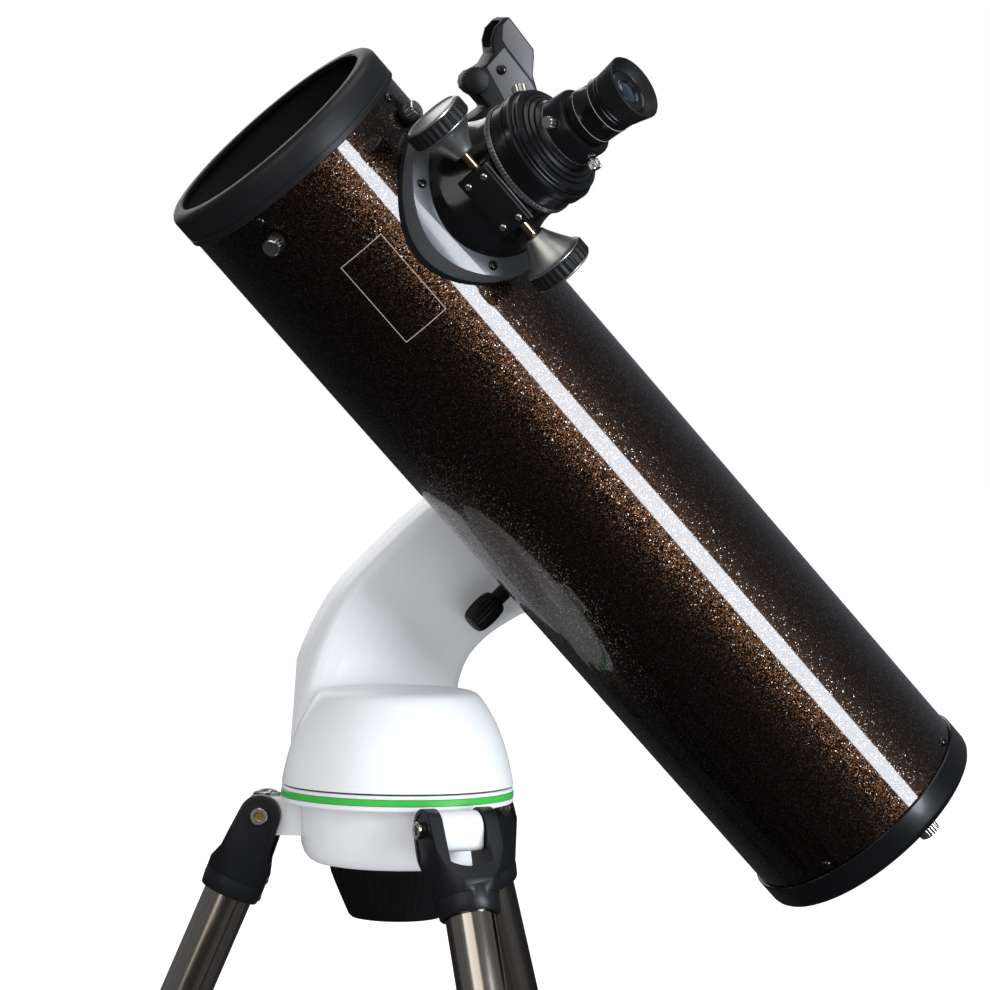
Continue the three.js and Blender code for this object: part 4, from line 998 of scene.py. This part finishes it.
def makeEyepiece():
    body = turned("eyepiece", [(0, 152), (13, 152), (13, 149.3), (15.6, 149), (15.8, 149.6), (15.8, 176.4),
        (17.6, 176.4), (18, 176.8), (18.2, 178), (18.2, 199.6), (17.7, 200), (17.7, 200.6), (18.3, 201),
        (18.3, 202.2), (17.9, 202.6), (17.9, 203.4), (17.2, 203.8), (14.2, 204), (14, 210.4), (0, 210.5)],
        96)
    finish(body, focuserFrame, castSatin, ["eyepiece"], "eyepiece_body")
    band = turned("eyepieceBand", [(18.1, 183), (18.35, 183), (18.35, 183.3), (18.25, 183.5),
        (18.25, 194.5), (18.35, 194.7), (18.35, 195), (18.1, 195)], 96)
    finish(band, focuserFrame, castGloss, body="eyepiece_body")
    for row, height in enumerate((182.6, 195)):
        line = turned(f"eyepieceLine{row}", [(18.1, height), (18.42, height), (18.42, height + 0.35),
            (18.1, height + 0.35)], 96)
        finish(line, focuserFrame, printedLine, body="eyepiece_body")
    cup = turned("eyecup", [(14.3, 204.2), (18.4, 203.6), (18.8, 204.2), (19.1, 206), (19.6, 209),
        (20.3, 212.4), (20.9, 215.4), (21.1, 216.8), (20.6, 217.4), (19.6, 217.3), (18.4, 215.4),
        (16.6, 212), (15, 210.6), (14.3, 210.6)], 96)
    finish(cup, focuserFrame, gripRubber, body="eyepiece_body")
    lens = turned("eyeLens", [(0, 210.6), (7.4, 210.6), (7.4, 211), (6, 211.8), (4, 212.4), (2, 212.7),
        (0, 212.8)], 64)
    finish(lens, focuserFrame, lensGlass, body="eyepiece_body")
    rim = turned("eyeLensRim", [(7.4, 210.6), (14.2, 210.6), (14.2, 212.4), (13.2, 212.9), (12.4, 212.3),
        (9, 212), (8.4, 212.4), (7.4, 211.8)], 64)
    finish(rim, focuserFrame, castGloss, body="eyepiece_body")


makeFocuserBase()
makeFocusWheels()
makeDrawtube()
makeSetScrews()
makeEyepiece()
print("stage: focuser done")

# ---- red-dot finder: side view in (distance along the tube, height above the axis)
finderOutline = [(224, 104), (222, 97.5), (268, 97.5), (266, 104), (265, 113.4), (274, 113.4), (277.8, 112),
    (281.9, 111.6), (285.6, 113.4), (288, 116.8), (288.4, 120.9), (286.6, 124.6), (285.8, 131.3),
    (288, 138), (295, 142.8), (299.2, 149.2), (299.8, 157), (298.6, 161), (272.5, 159.6), (268.8, 156.8),
    (260.5, 148.4), (250.8, 144), (222, 135), (214, 128), (214, 110)]


def makeFinder():
    body = rounded(sidePlate("finderBody", finderOutline, -14, 14), 1.6, 4, 50)
    cut(body, rounded(block("tunnel", (246, 320), (-10.5, 10.5), (140, 156)), 2, 3))
    foot = rounded(block("foot", (226, 266), (-10, 10), (76, 98.5)), 1, 2)
    fuse(body, foot)
    cut(body, turnTo(bar("tubeShape", 80.5, 150, 350, 192), "Y", 90))
    room = bar("flangeRoom", 58.2, 40, 92.2, 96)
    room.data.transform(finderFrame.inverted() @ focuserFrame)
    cut(body, room)
    seat = moved(turnTo(bar("dialSeat", 3.4, -20, -6, 32), "X", 90), 283.5, 0, 117.5)
    cut(body, seat)
    finish(body, finderFrame, blackNylon, ["finder_body"])
    for hand in (-1, 1):
        low, high = sorted((hand * 14.0, hand * 14.5))
        hood = rounded(sidePlate(f"finderHoodPanel{hand + 1}",
            [(257.6, 145.4), (285.6, 147), (290.8, 148), (297.4, 154.4), (298, 160), (273, 158.6),
            (269.4, 155.8), (261, 147.6)], low, high), 0.2, 2)
        finish(hood, finderFrame, panelGrey)
        side = rounded(sidePlate(f"finderSidePanel{hand + 1}",
            [(226, 118), (250, 121), (269.1, 125.7), (284.4, 128.9), (286.2, 145.6), (257.8, 144.2),
            (251, 142.6), (226, 134)], low, high), 0.2, 2)
        finish(side, finderFrame, panelGrey)
        screw = turnTo(copied(screwModel, f"finderScrew{hand + 1}"), "X", -90 * hand)
        finish(moved(screw, 277, hand * 14.4, 135), finderFrame, castGloss)
    for row, along in enumerate((270, 288.5)):
        window = rounded(block(f"finderWindow{row}", (along, along + 1.6), (-10.6, 10.6), (139.9, 156.1)),
            0.3, 2)
        finish(window, finderFrame, lensGlass)
    dial = turned("finderDial", [(0, 8), (3, 8), (3, 14.6), (8.2, 14.6), (8.8, 15), (9, 15.6), (9, 19.2),
        (8.4, 20.4), (7.4, 21), (0, 21.2)], 144)
    fluted(dial, 24, 0.5, 15, 20, 8)
    dialPlace = frameAt(pivotOf("finder_dial_turn") - finderSide * 12.8 * mm, forward,
        finderSide.cross(forward), finderSide)
    finish(dial, dialPlace, blackNylon, ["finder_dial"], "finder_wheel")


makeFinder()
discard(screwModel)
print("stage: finder done")

# ---- floor, lights and camera
def makeStudio():
    bpy.ops.object.select_all(action="DESELECT")
    bpy.ops.mesh.primitive_plane_add(size=60)
    floor = bpy.context.object
    floor.name = "floor"
    paint = mouldedPlastic("mattFloorPaint", "#f6f6f6", 0.9, 4, 0.02)
    shader = paint.node_tree.nodes["Principled BSDF"]
    shader.inputs["Emission Color"].default_value = (1, 1, 1, 1)
    rays = addNode(paint, "LightPath", {})
    lift = addNode(paint, "Math", {"operation": "MULTIPLY", 1: 0.6}, [(rays.outputs["Is Camera Ray"], 0)])
    feed(paint, lift.outputs[0], shader, "Emission Strength")
    soft = addNode(paint, "Mix", {"data_type": "RGBA", 6: linear("#f6f6f6"), 7: linear("#26262a")},
                   [(rays.outputs["Is Glossy Ray"], 0)])
    feed(paint, soft.outputs[2], shader, "Base Color")
    floor.data.materials.append(paint)
    world = bpy.data.worlds.new("studio")
    bpy.context.scene.world = world
    world.use_nodes = True
    nodes, links = world.node_tree.nodes, world.node_tree.links
    ray = nodes.new("ShaderNodeLightPath")
    # what mirrors see, what lights matt faces, and what the camera sees
    shades = []
    for colour, strength in (((0.85, 0.9, 1, 1), 0.16), ((0.97, 0.98, 1, 1), 0.74), ((1, 1, 1, 1), 1.0)):
        shade = nodes.new("ShaderNodeBackground")
        shade.inputs[0].default_value = colour
        shade.inputs[1].default_value = strength
        shades.append(shade)
    shown = shades[0]
    for test, shade in (("Is Diffuse Ray", shades[1]), ("Is Camera Ray", shades[2])):
        choice = nodes.new("ShaderNodeMixShader")
        links.new(ray.outputs[test], choice.inputs[0])
        links.new(shown.outputs[0], choice.inputs[1])
        links.new(shade.outputs[0], choice.inputs[2])
        shown = choice
    links.new(shown.outputs[0], nodes["World Output"].inputs[0])
    for name, shape, direction, distance, width, height, brightness, colour in (
        ("stripBox", "ELLIPSE", (0.496, -0.871, 0.1225), 2.3, 0.66, 1.5, 17, (0.86, 0.92, 1)),
        ("frontPanel", "RECTANGLE", (-0.62, -0.7, 0.3), 2.6, 1.8, 2.2, 1.3, (1, 0.97, 0.93)),
        ("topSoft", "RECTANGLE", (0.05, -0.15, 1), 2.4, 2.2, 2.2, 1.6, (1, 1, 1)),
        ("backRim", "RECTANGLE", (0.05, 0.94, 0.36), 2.6, 1.6, 1.6, 1.5, (1, 1, 1)),
    ):
        light = bpy.data.lights.new(name, "AREA")
        light.shape = shape
        light.size, light.size_y = width, height
        light.energy = brightness * pi * width * height
        light.color = colour
        lamp = bpy.data.objects.new(name, light)
        bpy.context.collection.objects.link(lamp)
        way = Vector(direction).normalized()
        side = forward.cross(way) if name == "stripBox" else Vector((0.01, 0, 1)).cross(way)
        side.normalize()
        lamp.matrix_world = frameAt(tubeOrigin + way * distance, side, way.cross(side), way)


cameraSizes = {"place": (-0.8573, -2.5269, 0.2662), "lens": 150.76, "sensor": 36, "reach": 200}


def makeCamera():
    camera = bpy.data.objects.new("camera", bpy.data.cameras.new("camera"))
    bpy.context.collection.objects.link(camera)
    camera.data.lens = cameraSizes["lens"]
    camera.data.sensor_width = cameraSizes["sensor"]
    camera.data.clip_end = cameraSizes["reach"]
    back = Vector((-0.34247, -0.93906, 0.02976)).normalized()
    right = Vector((0.93953, -0.34221, 0.01342)).normalized()
    up = back.cross(right).normalized()
    camera.matrix_world = frameAt(mountOrigin + Vector(cameraSizes["place"]), up.cross(back), up, back)
    bpy.context.scene.camera = camera
    bpy.context.scene.view_settings.view_transform = "Standard"


makeStudio()
makeCamera()
print("stage: studio done")
